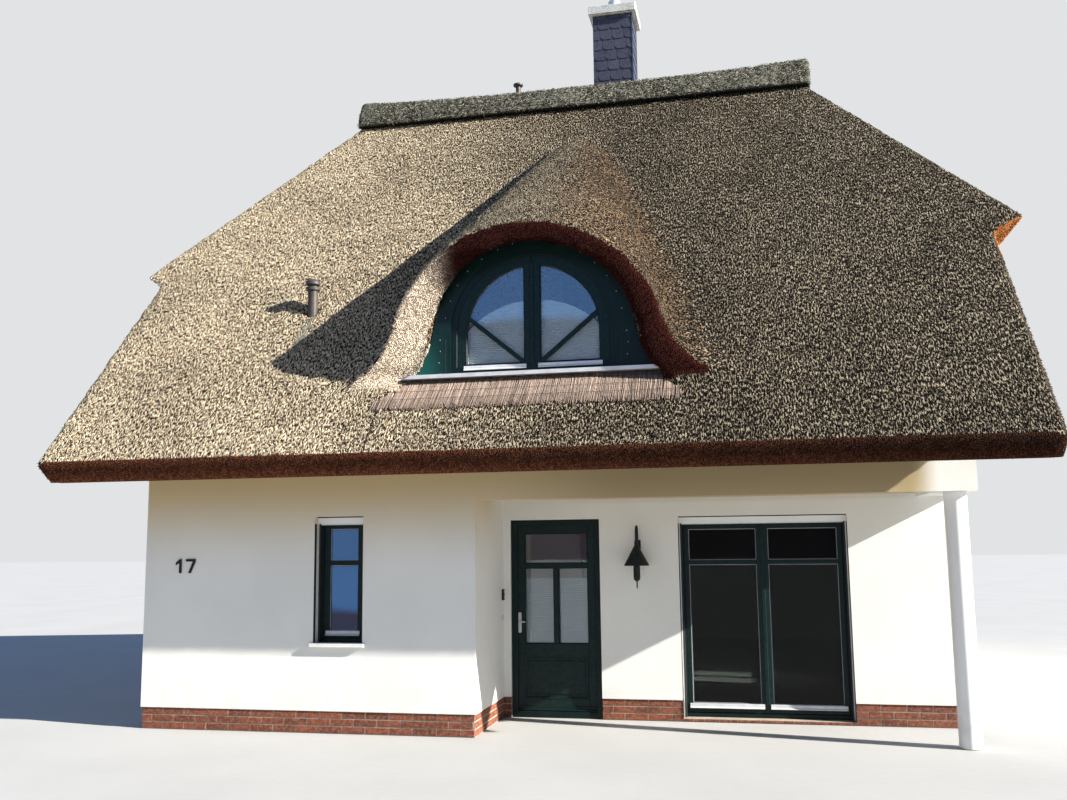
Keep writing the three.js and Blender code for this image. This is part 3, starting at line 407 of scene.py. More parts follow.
def unit_block():
    """Faces of a block with chamfered edges, for points ordered corner by corner."""
    signs = [(x, y, z) for x in (-1, 1) for y in (-1, 1) for z in (-1, 1)]
    points = []
    for corner in signs:
        for axis in range(3):
            points.append([s * (1.0 if i == axis else 0.8) for i, s in enumerate(corner)])
    points = np.array(points)
    faces = []
    for axis in range(3):
        b, c = (axis + 1) % 3, (axis + 2) % 3
        for side in (-1, 1):
            ring = sorted((i for i, s in enumerate(signs) if s[axis] == side),
                          key=lambda i: math.atan2(signs[i][b], signs[i][c]))
            faces.append([3 * i + axis for i in ring])
        for i, first in enumerate(signs):
            if first[axis] == -1:
                far = list(first)
                far[axis] = 1
                j = signs.index(tuple(far))
                faces.append([3 * i + b, 3 * j + b, 3 * j + c, 3 * i + c])
    faces += [[3 * i, 3 * i + 1, 3 * i + 2] for i in range(8)]
    turned = []
    for face in faces:
        corners = points[face]
        normal = np.cross(corners[1] - corners[0], corners[2] - corners[0])
        turned.append(face if normal @ corners.mean(0) > 0 else face[::-1])
    return np.array(signs, float), turned


BLOCK_SIGNS, BLOCK_FACES = unit_block()


def prism_faces(n):
    """Faces of a prism whose first n points are one end and the next n the other."""
    faces = [list(range(n)), list(range(2 * n - 1, n - 1, -1))]
    return faces + [[i, i + n, (i + 1) % n + n, (i + 1) % n] for i in range(n)]


def rectangle(x0, x1, z0, z1):
    return [(x0, z0), (x1, z0), (x1, z1), (x0, z1)]


def mitres(path):
    """Inward offset direction at each point of a closed path, given anticlockwise."""
    path = np.asarray(path, float)
    ahead = unit(np.roll(path, -1, 0) - path)
    inward = np.stack([-ahead[:, 1], ahead[:, 0]], 1)
    before = np.roll(inward, 1, 0)
    return (inward + before) / (1 + (inward * before).sum(1))[:, None]


class Maker:
    """Collects closed bodies and turns them into one object."""

    def __init__(self, matrix=None):
        self.matrix = matrix or Matrix.Identity(4)
        self.points, self.faces, self.finishes, self.count = [], [], [], 0

    def add(self, points, faces, finish=0):
        points = np.asarray(points, float).reshape(-1, 3)
        by_size = {}
        for face in faces:
            by_size.setdefault(len(face), []).append(face)
        for rows in by_size.values():
            self.faces.append(np.array(rows) + self.count)
            self.finishes.append(np.full(len(rows), finish))
        self.points.append(points)
        self.count += len(points)

    def block(self, low, high, bevel=0.002, finish=0):
        low, high = np.array(low, float), np.array(high, float)
        centre, half = (low + high) / 2, abs(high - low) / 2
        bevel = min(bevel, half.min() * 0.8)
        points = []
        for sign in BLOCK_SIGNS:
            for axis in range(3):
                inset = np.full(3, bevel)
                inset[axis] = 0
                points.append(centre + sign * (half - inset))
        self.add(points, BLOCK_FACES, finish)

    def ring(self, path, profile, finish=0, start=0.0):
        """Profile of inward offset and depth from start, swept round a closed path in x and z."""
        path, out = np.asarray(path, float), mitres(path)
        profile = np.asarray(profile, float)
        across, depth = profile[:, 0], profile[:, 1] + start
        n, m = len(path), len(profile)
        points = np.zeros((n, m, 3))
        points[:, :, 0] = path[:, None, 0] + out[:, None, 0] * across
        points[:, :, 2] = path[:, None, 1] + out[:, None, 1] * across
        points[:, :, 1] = depth
        i, j = np.meshgrid(np.arange(n), np.arange(m), indexing="ij")
        k, l = (i + 1) % n, (j + 1) % m
        faces = np.stack([i * m + j, k * m + j, k * m + l, i * m + l], -1).reshape(-1, 4)
        area = (across * np.roll(depth, -1) - np.roll(across, -1) * depth).sum()
        self.add(points, faces if area < 0 else faces[:, ::-1], finish)

    def plate(self, outline, near, far):
        """Outline in x and z, given anticlockwise, between two depths."""
        outline = np.asarray(outline, float)
        n = len(outline)
        front = np.stack([outline[:, 0], np.full(n, near), outline[:, 1]], 1)
        back = np.stack([outline[:, 0], np.full(n, far), outline[:, 1]], 1)
        self.add(np.concatenate([front, back]), prism_faces(n))

    def lathe(self, profile, centre, sides=32, finish=0, axis="z"):
        """Profile of radius and height, turned about an axis; its ends lie on the axis."""
        angle = np.linspace(0, 2 * math.pi, sides, endpoint=False)
        points, rows = [], []
        for radius, height in profile:
            if radius < 1e-6:
                rows.append([len(points)])
                points.append((0, 0, height))
            else:
                rows.append(list(range(len(points), len(points) + sides)))
                points += [(radius * math.cos(a), radius * math.sin(a), height) for a in angle]
        faces = []
        for low, high in zip(rows, rows[1:]):
            for i in range(sides):
                j = (i + 1) % sides
                face = [low[i % len(low)], low[j % len(low)], high[j % len(high)],
                        high[i % len(high)]]
                face = list(dict.fromkeys(face))
                if len(face) > 2:
                    faces.append(face)
        points = np.array(points, float)
        if axis == "y":
            points = points[:, [0, 2, 1]] * (1, -1, 1)
        if axis == "x":
            points = points[:, [2, 0, 1]]
        self.add(points + np.array(centre, float), faces, finish)

    def tube(self, path, radius, sides=12, finish=0):
        """A round bar along points, closed at both ends."""
        path = [Vector(p) for p in path]
        radii = radius if hasattr(radius, "__len__") else [radius] * len(path)
        side = None
        points = []
        for i, p in enumerate(path):
            ahead = (path[min(i + 1, len(path) - 1)] - path[max(i - 1, 0)]).normalized()
            if side is None:
                side = ahead.orthogonal().normalized()
            side = (side - ahead * side.dot(ahead)).normalized()
            other = ahead.cross(side)
            for k in range(sides):
                a = 2 * math.pi * k / sides
                points.append(p + (side * math.cos(a) + other * math.sin(a)) * radii[i])
        faces = [list(range(sides))[::-1],
                 list(range(len(points) - sides, len(points)))]
        for i in range(len(path) - 1):
            for k in range(sides):
                a, b = i * sides + k, i * sides + (k + 1) % sides
                faces.append([a, b, b + sides, a + sides])
        self.add(points, faces, finish)

    def arrays(self):
        points = np.concatenate(self.points)
        turn = np.array(self.matrix)
        return points @ turn[:3, :3].T + turn[:3, 3]

    def build(self, name, finishes, slot, body=HOUSE, nodes=(), crease=35.0):
        """Makes the object, gives it its finishes and lets it ride on its body."""
        mesh = make_mesh(name, self.arrays(), self.faces, np.concatenate(self.finishes))
        return settle(name, mesh, finishes, body, nodes, crease)


def corners_of(mesh):
    """Index of the point at each corner of each face."""
    corners = np.zeros(len(mesh.loops), np.int32)
    mesh.loops.foreach_get("vertex_index", corners)
    return corners


def unit(vectors):
    return vectors / np.linalg.norm(vectors, axis=1)[:, None]


def make_mesh(name, points, faces, finishes=None):
    mesh = bpy.data.meshes.new(name)
    mesh.vertices.add(len(points))
    mesh.vertices.foreach_set("co", points.astype(np.float32).ravel())
    sizes = np.concatenate([np.full(len(rows), rows.shape[1]) for rows in faces])
    corners = np.concatenate([rows.ravel() for rows in faces])
    mesh.loops.add(len(corners))
    mesh.loops.foreach_set("vertex_index", corners.astype(np.int32))
    mesh.polygons.add(len(sizes))
    starts = np.concatenate([[0], np.cumsum(sizes)[:-1]])
    mesh.polygons.foreach_set("loop_start", starts.astype(np.int32))
    if finishes is not None:
        mesh.polygons.foreach_set("material_index", finishes.astype(np.int32))
    mesh.update(calc_edges=True)
    mesh.validate()
    return mesh


def placed(name, data):
    """A new object in the scene."""
    made = bpy.data.objects.new(name, data)
    bpy.context.scene.collection.objects.link(made)
    return made


def move_points(mesh, points):
    mesh.vertices.foreach_set("co", points.astype(np.float32).ravel())
    mesh.update()


def even_mesh(mesh, size):
    """A closed mesh of even faces in the shape of the given one."""
    form = placed("form", mesh)
    even = form.modifiers.new("even", "REMESH")
    even.mode = "VOXEL"
    even.voxel_size = size
    depsgraph = bpy.context.evaluated_depsgraph_get()
    made = bpy.data.meshes.new_from_object(form.evaluated_get(depsgraph))
    bpy.data.objects.remove(form)
    made.materials.clear()
    return made


def settle(name, mesh, finishes, body=HOUSE, nodes=(), crease=35.0):
    """Makes a piece of a mesh: its finishes, body and the nodes that it replaces."""
    if crease:
        mesh.shade_smooth()
        mesh.set_sharp_from_angle(angle=math.radians(crease))
    for finish in finishes:
        mesh.materials.append(finish)
    piece = placed(name, mesh)
    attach(piece, body)
    if nodes:
        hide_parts(*nodes)
    return piece


def dress(nodes, finish):
    """Gives CAD nodes a finish in place of their plain one."""
    for node in nodes:
        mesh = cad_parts[node].data
        mesh.materials.clear()
        mesh.materials.append(finish)


def stock(key):
    """The finishes that several pieces share, made once."""
    if "cottage_" + key in bpy.data.materials:
        return bpy.data.materials["cottage_" + key]
    s = settings()
    makers = {
        "green_paint": lambda: coated(key, s.joinery.paint, 0.38, 0.08, 5, 0.0002, 0.3,
                                      (0.012, 0.045, 0.04), 0.02, shine=0.2),
        "white_trim": lambda: coated(key, s.joinery.trim, 0.35, 0.04, 2, 0.0001, dust=0.2),
        "rail_metal": lambda: coated(key, (0.60, 0.61, 0.62), 0.42, 0.1, 12, 0.0001, metal=0.2),
        "steel": lambda: coated(key, (0.52, 0.53, 0.53), 0.3, 0.1, 20, 0.0001, metal=0.3),
        "gasket": lambda: coated(key, (0.012, 0.012, 0.012), 0.7, 0.2, 10, 0.0002),
        "black_metal": lambda: coated(key, (0.010, 0.011, 0.012), 0.5, 0.3, 12, 0.0003, 0.2,
                                      (0.04, 0.04, 0.04), shine=0.25),
        "concrete": lambda: coated(key, (0.40, 0.39, 0.36), 0.85, 0.15, 2, 0.0015),
        "blind": lambda: coated(key, s.joinery.blind, 0.75, 0.05, 6, 0.0004),
        "glass": lambda: glass_finish(key, s.joinery.glass),
        "door_glass": lambda: glass_finish(key, shaded(s.joinery.glass, 0.9)),
        "room_shade_glass": lambda: glass_finish(key, s.joinery.room_shade_glass, 1.22),
        "painted_sky_glass": lambda: glass_finish(key, s.joinery.painted_sky_glass, 2.2, 0.15),
        "pipe_metal": lambda: coated(key, s.chimney.pipe, 0.5, 0.2, 8, 0.0004, 0.3, shine=0.3),
        "render": render_finish,
    }
    return makers[key]()


def stocks(*keys):
    return [stock(key) for key in keys]


def glass_finish(name, rgb, strength=1.5, lean=0.0):
    """Clear glass; lean turns its reflection up to the sky, as on a tilted leaf."""
    made, tree, shader, place = new_material(name)
    shader.inputs["Base Color"].default_value = (*rgb, 1)
    shader.inputs["Transmission Weight"].default_value = 1.0
    shader.inputs["IOR"].default_value = strength
    smudge = patches(tree, place, 5.0, 5, 0.35, 0.8, 0.0, 0.03)
    tree.links.new(smudge, shader.inputs["Roughness"])
    height = times(tree, grains(tree, place, 1.4, 1), 0.0004)
    if lean:
        rise = axes(tree, place)[2]
        height = calc(tree, "SUBTRACT", height, times(tree, rise, lean))
    bump(tree, shader, height, 1.0)
    return made


# Painted shade, warmed by painted light from the ground, on the render below the eaves: heights, and
# edges it fades out at

EAVES_SHADE_HEIGHTS, BEAM_FOOT = (1.5, 2.6), (2.30, 2.34)
PORCH_BACK, LEFT_CORNER = (-2.95, -2.75), (-4.168, -4.160)


def render_finish():
    """Fine white render: sandy grain, faint clouds, dust above the plinth, and warm painted shade below
    the eaves, deeper on the porch beam.
    """
    made, tree, shader, place = new_material("render")
    base = settings().walls.render
    uneven = place_group(tree, "Uneven tone", {"Vector": place, "Scale": 0.9})
    result = mix(tree, uneven.outputs[0], shaded(base, 0.955), shaded(base, 1.03))
    sand = grains(tree, place, 260.0, 4, 0.7)
    result = mix(tree, fade(tree, sand, 0.35, 0.5), shaded(base, 0.86), result)
    dusty = place_group(tree, "Dust", {"Vector": place, "Height": 0.75, "Amount": 0.28})
    result = mix(tree, dusty.outputs[0], result, (0.46, 0.42, 0.34))
    x, y, z = axes(tree, place)
    # Painted shade below the eaves: strong on the front wall, weak on the porch's back wall, fading out
    # towards the corners
    front = times(tree, fade(tree, y, -4.0, -3.0, 1.0, 0.2), fade(tree, y, *PORCH_BACK, 1, 0))
    shade_mask = times(tree, calc(tree, "POWER", fade(tree, z, *EAVES_SHADE_HEIGHTS), 1.4), front)
    shade_mask = times(tree, shade_mask, fade(tree, x, 3.7, 4.0, 1, 0))
    shade_mask = times(tree, shade_mask, fade(tree, x, *LEFT_CORNER))
    shade_tint = settings().walls.eaves_shade
    result = mix(tree, shade_mask, result, shaded(shade_tint, 0.72))
    # Deeper painted shade on the porch beam's face, whose plaster is also coarser
    beam = times(tree, fade(tree, x, -0.50, 1.2), fade(tree, z, *BEAM_FOOT))
    beam = times(tree, beam, shade_mask)
    result = mix(tree, beam, result, shaded(shade_tint, 0.46))
    tree.links.new(result, shader.inputs["Base Color"])
    surface(shader, 0.92, 0.25)
    soft = bump(tree, shader, grains(tree, place, 6.0, 3), 0.004, 0.5)
    bump(tree, shader, sand, 0.0028, 0.9, soft)
    return made


# Walls, plinth, column

class COTTAGE_OT_walls(bpy.types.Operator):
    """Finish the walls and floors"""
    bl_idname = "cottage.walls"
    bl_label = "Walls"

    def execute(self, context):
        walls = [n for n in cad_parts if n.endswith("_wall")]
        dress(walls + ["door_lintel", "porch_beam", "upper_floor"], stock("render"))
        dress(["ground_floor"], stock("concrete"))
        return {"FINISHED"}


def brick_finish():
    """Bricks burnt to different tones, with dark specks and paler edges."""
    made, tree, shader, place = new_material("brick")
    base = settings().walls.brick
    chance = by_chance(tree)
    burnt = mix(tree, fade(tree, chance, 0.0, 1.0), shaded(base, 0.55), shaded(base, 1.45))
    cloud = patches(tree, place, 22.0, 4, 0.35, 0.7)
    result = mix(tree, cloud, burnt, shaded(base, 0.8))
    speck = patches(tree, place, 190.0, 2, 0.62, 0.72)
    result = mix(tree, speck, result, shaded(base, 0.3))
    edges = place_group(tree, "Worn edges", {"Vector": place, "Amount": 0.5})
    result = mix(tree, edges.outputs[0], result, (0.34, 0.14, 0.08))
    tree.links.new(result, shader.inputs["Base Color"])
    shader.inputs["Roughness"].default_value = 0.82
    bump(tree, shader, grains(tree, place, 90.0, 5, 0.7), 0.004, 0.7)
    return made


def brick_run(maker, start, end, outward, top, random):
    """Courses of brick on one face of the plinth, from start to end."""
    w = settings().walls
    start, end, outward = Vector(start), Vector(end), Vector(outward)
    along = (end - start).normalized()
    run = (end - start).length
    rise = top / w.courses
    for course in range(w.courses):
        at = -(course % 2) * (w.brick_length + w.joint) / 2
        while at < run - 0.02:
            a, b = max(at, 0.002), min(at + w.brick_length, run - 0.002)
            at += w.brick_length + w.joint
            if b - a < 0.025:
                continue
            out = 0.004 + 0.003 * random.random()
            low = start + along * a - outward * 0.03
            high = start + along * b + outward * out
            z0 = course * rise + w.joint * 0.5
            corners = [(low.x, low.y, z0), (high.x, high.y, z0 + rise - w.joint)]
            lo = [min(c[i] for c in corners) for i in range(3)]
            hi = [max(c[i] for c in corners) for i in range(3)]
            maker.block(lo, hi, 0.003)


class COTTAGE_OT_plinth(bpy.types.Operator):
    """Lay the plinth's bricks in front of its mortar"""
    bl_idname = "cottage.plinth"
    bl_label = "Plinth"

    def execute(self, context):
        nodes = [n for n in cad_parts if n.endswith("_plinth")]
        mortar = coated("mortar", settings().walls.mortar, 0.95, 0.2, 8, 0.002, dust=0.4)
        dress(nodes, mortar)
        random = np.random.default_rng(11)
        maker = Maker()
        front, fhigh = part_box("front_left_plinth")
        top = fhigh.z - 0.0015
        side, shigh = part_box("porch_side_plinth")
        porch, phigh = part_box("porch_back_plinth")
        right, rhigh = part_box("right_plinth")
        back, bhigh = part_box("back_plinth")
        french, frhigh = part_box("french_window_frame")
        garden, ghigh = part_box("back_window_frame")
        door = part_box("door_frame")
        runs = [
            ((front.x, front.y, 0), (fhigh.x, front.y, 0), (0, -1, 0)),
            ((fhigh.x, front.y, 0), (fhigh.x, porch.y, 0), (1, 0, 0)),
            ((fhigh.x, porch.y, 0), (door[0].x, porch.y, 0), (0, -1, 0)),
            ((door[1].x, porch.y, 0), (french.x, porch.y, 0), (0, -1, 0)),
            ((frhigh.x, porch.y, 0), (rhigh.x, porch.y, 0), (0, -1, 0)),
            ((rhigh.x, right.y, 0), (rhigh.x, bhigh.y, 0), (1, 0, 0)),
            ((bhigh.x, bhigh.y, 0), (ghigh.x, bhigh.y, 0), (0, 1, 0)),
            ((garden.x, bhigh.y, 0), (back.x, bhigh.y, 0), (0, 1, 0)),
            ((back.x, bhigh.y, 0), (back.x, front.y, 0), (-1, 0, 0)),
        ]
        for start, end, outward in runs:
            brick_run(maker, start, end, outward, top, random)
        for low, high, y, step in ((french, frhigh, porch.y, -1), (garden, ghigh, bhigh.y, 1)):
            near, far = sorted((y + 0.006 * step, y - 0.11 * step))
            at = low.x
            while at < high.x - 0.03:
                maker.block((at, near, 0.001), (min(at + 0.105, high.x), far, 0.027), 0.003)
                at += 0.115
        maker.build("plinth_bricks", [brick_finish()], "brick")
        return {"FINISHED"}


class COTTAGE_OT_column(bpy.types.Operator):
    """Turn the porch's round column"""
    bl_idname = "cottage.column"
    bl_label = "Porch column"

    def execute(self, context):
        low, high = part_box("porch_column")
        centre = (low + high) / 2
        radius = (high.x - low.x) / 2
        maker = Maker()
        maker.lathe([(0, 0), (radius - 0.004, 0), (radius, 0.004), (radius, high.z - 0.004),
                     (radius - 0.004, high.z), (0, high.z)], (centre.x, centre.y, 0), 72)
        paint = coated("column_paint", (0.82, 0.82, 0.80), 0.45, 0.03, 1.5, 0.0006, dust=0.35)
        maker.build("round_column", [paint], "column_paint", nodes=["porch_column"])
        return {"FINISHED"}


# Windows: drawn in their own frame, x across, y into the wall, z up

# Glass: its distance from side, middle and foot, its cross bar's height, its distance from the top

FIELD = {"narrow": (0.112, 0.0, 0.122, 0.822, 0.127), "french": (0.1, 0.062, 0.14, 1.635, 0.14),
         "side": (0.1, 0.062, 0.122, 0.82, 0.127)}
CROSS_BAR = 0.048
SHUTTER_BOX = 0.075


def leaves(width, height, kind):
    """Leaf outlines and their fields of glass."""
    stile, meeting, bottom, cross, top = FIELD[kind]
    middle = width / 2
    spans = [(stile, width - stile)]
    if meeting:
        spans = [(stile, middle - meeting), (middle + meeting, width - stile)]
    made = []
    for x0, x1 in spans:
        fields = [(x0, x1, bottom, cross - CROSS_BAR / 2),
                  (x0, x1, cross + CROSS_BAR / 2, height - top)]
        made.append(((x0, x1, bottom, height - top), fields))
    return made


def pane(glass, trim, path, depth):
    """Double glazing in a field: two sheets and the bright spacer between them."""
    inner = np.asarray(path) + mitres(path) * -0.008
    for near in (depth, depth + 0.014):
        glass.plate(inner, near, near + 0.004)
    trim.ring(path, rectangle(0.002, 0.009, 0.0045, 0.0135), 1, depth)


def bead(maker, path, depth):
    """Sloping glazing bead round a field down to the glass, and its bright gasket line."""
    maker.ring(path, [(-0.012, 0), (-0.002, 0), (0.001, 0.003), (0.001, 0.024), (-0.012, 0.024)],
               0, depth)
    maker.ring(path, rectangle(0.0, 0.0045, 0.025, 0.029), 1, depth)


def window(name, kind, sill=False):
    """Frame, leaves, bars, double glazing, weather bars, shutter box and rails."""
    node = name + "_frame"
    low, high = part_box(node)
    turned = high.y - low.y > high.x - low.x
    width = (high.y - low.y) if turned else (high.x - low.x)
    height = high.z - low.z
    if turned and low.x > 0:
        corner, turn = (high.x, low.y, low.z), math.radians(90)
    elif turned:
        corner, turn = (low.x, high.y, low.z), math.radians(-90)
    elif low.y > 0:
        corner, turn = (high.x, high.y, low.z), math.pi
    else:
        corner, turn = low, 0.0
    place = Matrix.Translation(corner) @ Matrix.Rotation(turn, 4, "Z")
    maker, panes = Maker(place), Maker(place)
    rim = 0.046
    maker.ring(rectangle(0, width, 0, height),
               [(0, 0), (rim - 0.004, 0), (rim, 0.004), (rim, 0.03), (rim + 0.012, 0.03),
                (rim + 0.012, 0.08), (0, 0.08)])
    stile, meeting, _, cross, _ = FIELD[kind]
    front = 0.009
    for (x0, x1, z0, z1), fields in leaves(width, height, kind):
        left = rim + 0.003 if x0 == stile else width / 2 + 0.0015
        right = width - rim - 0.003 if x1 == width - stile else width / 2 - 0.0015
        edge = rectangle(left, right, rim + 0.003, height - rim - 0.003)
        body = rectangle(x0 - 0.001, x1 + 0.001, z0 - 0.001, z1 + 0.001)
        leaf_frame(maker, edge, body, front, 0.076)
        maker.block((x0 - 0.004, front + 0.003, cross - CROSS_BAR / 2),
                    (x1 + 0.004, 0.07, cross + CROSS_BAR / 2), 0.004)
        for fx0, fx1, fz0, fz1 in fields:
            path = rectangle(fx0, fx1, fz0, fz1)
            bead(maker, path, front + 0.002)
            pane(panes, maker, path, 0.041)
        weather_bar(maker, x0 - 0.03, x1 + 0.03, z0 - 0.045, 0.001)
    if meeting:
        middle = width / 2
        maker.block((middle - 0.02, 0.001, rim), (middle + 0.02, 0.012, height - rim), 0.004)
    shutter(maker, width, height)
    if sill:
        outer_sill(maker, width)
    finishes = stocks("green_paint", "rail_metal", "white_trim", "gasket")
    nodes = [node]
    if name + "_shutter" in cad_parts:
        nodes.append(name + "_shutter")
    if sill and name + "_sill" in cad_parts:
        nodes.append(name + "_sill")
    maker.build(name + "_joinery", finishes, "green_paint", nodes=nodes)
    glass = stock("painted_sky_glass" if kind == "narrow" else "room_shade_glass")
    sheet = panes.build(name + "_panes", [glass], "window_glass", nodes=[name + "_glass"])
    sheet.visible_shadow = False


def leaf_frame(maker, outer, inner, near, far):
    """The four members of a leaf, with a fine joint at each corner."""
    (ox0, oz0), _, (ox1, oz1), _ = outer
    (ix0, iz0), _, (ix1, iz1), _ = inner
    maker.block((ox0, near, oz0), (ix0, far, oz1), 0.003)
    maker.block((ix1, near, oz0), (ox1, far, oz1), 0.003)
    maker.block((ix0, near, oz0), (ix1, far, iz0), 0.003)
    maker.block((ix0, near, iz1), (ix1, far, oz1), 0.003)


def weather_bar(maker, x0, x1, z, depth, finish=1):
    """Weather bar on a leaf's bottom rail, of aluminium unless told otherwise."""
    profile = [(0, 0), (0.0, 0.044), (0.004, 0.048), (0.008, 0.044), (0.010, 0.018),
               (0.024, 0.005), (0.024, 0)]
    points = [(x, depth - a, z + b) for x in (x0, x1) for a, b in profile]
    maker.add(points, prism_faces(len(profile)), finish)


def shutter(maker, width, height):
    """Roller shutter: box under the lintel, rounded end bar and two guide rails, with black strips of
    painted shade along the box's top and in the reveals.
    """
    back = -0.0005
    maker.block((0.0, -0.06, height - SHUTTER_BOX), (width, back, height), 0.004, 2)
    maker.block((0.03, -0.045, height - SHUTTER_BOX - 0.012),
                (width - 0.03, -0.03, height - SHUTTER_BOX + 0.004), 0.004, 1)
    # Black strip along the box's top: painted shadow of the lintel
    maker.block((0.0, -0.0605, height - 0.012), (width, -0.05, height), 0.001, 3)
    low = height - SHUTTER_BOX
    # Each rail's first piece is a black strip out in the reveal: painted shade of the reveal
    rails = ((0.0005, 0.004, -0.136, -0.088, 3), (0.004, 0.017, -0.058, back, 1),
             (0.017, 0.034, -0.06, back, 3))
    for x, inward in ((0.0, 1), (width, -1)):
        for a, b, front, rear, finish in rails:
            x0, x1 = sorted((x + inward * a, x + inward * b))
            maker.block((x0, front, 0.001), (x1, rear, low), 0.001, finish)


def outer_sill(maker, width):
    """White sill: a nose before the wall and a plate in the reveal."""
    reveal, nose = 0.14, 0.043
    over, thick = 0.03, 0.030
    maker.block((-over, -reveal - nose, -thick), (width + over, -reveal - 0.0005, 0.009), 0.006, 2)
    maker.block((0.0, -reveal - 0.01, 0.0), (width, -0.061, 0.0095), 0.002, 2)


class COTTAGE_OT_windows(bpy.types.Operator):
    """Build the rectangular windows"""
    bl_idname = "cottage.windows"
    bl_label = "Windows"

    def execute(self, context):
        window("narrow_window", "narrow", sill=True)
        window("french_window", "french")
        window("back_window", "french")
        for name in ("left_window", "left_upper_window", "right_window", "right_upper_window"):
            window(name, "side", sill=True)
        return {"FINISHED"}


# Front door; the leaf's edge at the hinges, and their pin

LEAF_EDGE = 4.726 - CORNER_X
HINGE = (4.7285 - CORNER_X, 1.358 - CORNER_Y)


class COTTAGE_OT_door(bpy.types.Operator):
    """Build the front door with its frame, glass, blinds, handle and hinges"""
    bl_idname = "cottage.door"
    bl_label = "Front door"

    def execute(self, context):
        finishes = stocks("green_paint", "rail_metal", "steel", "gasket")
        low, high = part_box("door_frame")
        place = Matrix.Translation((low.x, low.y, 0))
        self.surround(place, high.x - low.x, high.z, finishes)
        near, fields = self.leaf(place, low, finishes)
        blinds = Maker(place)
        for x0, x1, z0, _ in fields[1:]:
            slats(blinds, lambda z, a=x0, b=x1: (a + 0.002, b - 0.002), z0 + 0.004, 1.49,
                  near + 0.058)
        blinds.build("door_blinds", [stock("blind")], "white_trim", DOOR)
        handle(place, near)
        return {"FINISHED"}

    def surround(self, place, width, height, finishes):
        """Frame with its stop, the threshold's rail and the fixed half of the hinges."""
        maker = Maker(place)
        jamb, stop = 0.0377, 0.0647
        maker.ring(rectangle(0, width, 0, height),
                   [(0, 0), (stop - 0.005, 0), (stop, 0.005), (stop, 0.025), (jamb, 0.025),
                    (jamb, 0.09), (0, 0.09)])
        maker.block((stop, 0.004, 0.03), (width - stop, 0.088, 0.05), 0.002, 1)
        hinges(maker, place, 0.0, 0.0595)
        maker.build("door_surround", finishes, "green_paint", nodes=["door_frame"])

    def leaf(self, place, low, finishes):
        """Leaf with a panel and three panes; gives the depth of its face and the panes' edges."""
        llow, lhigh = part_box("door_leaf")
        x0, x1, z0, z1 = llow.x - low.x, LEAF_EDGE - low.x, llow.z, lhigh.z
        near, far = llow.y - low.y, llow.y - low.y + 0.068
        leaf, panes = Maker(place), Maker(place)
        gx0, gx1 = x0 + 0.095, x1 - 0.095
        middle = (gx0 + gx1) / 2
        bar = 0.023
        panel, lights, top_light = (0.2, 0.65), (0.785, 1.62), (1.665, 2.0)
        fields = [(gx0, gx1, *top_light), (gx0, middle - bar, *lights),
                  (middle + bar, gx1, *lights)]
        leaf.block((x0, near, z0), (gx0, far, z1), 0.004)
        leaf.block((gx1, near, z0), (x1, far, z1), 0.004)
        levels = (z0, *panel, *lights, *top_light, z1)
        for foot, head in zip(levels[::2], levels[1::2]):
            leaf.block((gx0 - 0.001, near, foot), (gx1 + 0.001, far, head), 0.004)
        leaf.block((middle - bar, near, lights[0] - 0.001), (middle + bar, far, lights[1] + 0.001),
                   0.004)
        leaf.block((gx0 - 0.005, near + 0.014, panel[0] - 0.005),
                   (gx1 + 0.005, far - 0.014, panel[1] + 0.005), 0.001)
        leaf.ring(rectangle(gx0, gx1, *panel), [(-0.004, -0.004), (0.010, 0.002), (0.016, 0.008),
                                                (0.02, 0.015), (-0.004, 0.015)], 0, near)
        leaf.block((gx0 + 0.045, near + 0.006, panel[0] + 0.045),
                   (gx1 - 0.045, near + 0.02, panel[1] - 0.045), 0.012)
        for fx0, fx1, fz0, fz1 in fields:
            path = rectangle(fx0, fx1, fz0, fz1)
            leaf.ring(path, [(-0.006, -0.003), (0.004, -0.003), (0.011, 0.006), (0.012, 0.027),
                             (-0.006, 0.027)], 0, near)
            pane(panes, leaf, path, near + 0.032)
        weather_bar(leaf, x0 + 0.02, x1 - 0.02, 0.075, near, 0)
        hinges(leaf, place, 0.06, 0.1195, on_leaf=True)
        leaf.build("door_panel", finishes, "green_paint", DOOR, ["door_leaf"])
        sheet = panes.build("door_panes", [stock("door_glass")], "window_glass", DOOR,
                            ["door_glass"])
        sheet.visible_shadow = False
        return near, fields


def hinges(maker, place, start, end, on_leaf=False):
    """Hinge knuckles on the frame's or the leaf's share of each hinge."""
    radius = 0.009
    origin = place.inverted() @ Vector((*HINGE, 0))
    left, right, front = (-0.04, 0, 0.0105) if on_leaf else (0, 0.037, 0.0178)
    for foot in (0.3, 1.05, 1.8):
        z0, z1 = foot + start, foot + end
        maker.lathe([(0, z0), (radius - 0.001, z0), (radius, z0 + 0.002), (radius, z1 - 0.002),
                     (radius - 0.001, z1), (0, z1)], (origin.x, origin.y, 0), 20, 2)
        maker.block((origin.x + left, origin.y - front, z0),
                    (origin.x + right, origin.y - 0.004, z1), 0.001, 2)


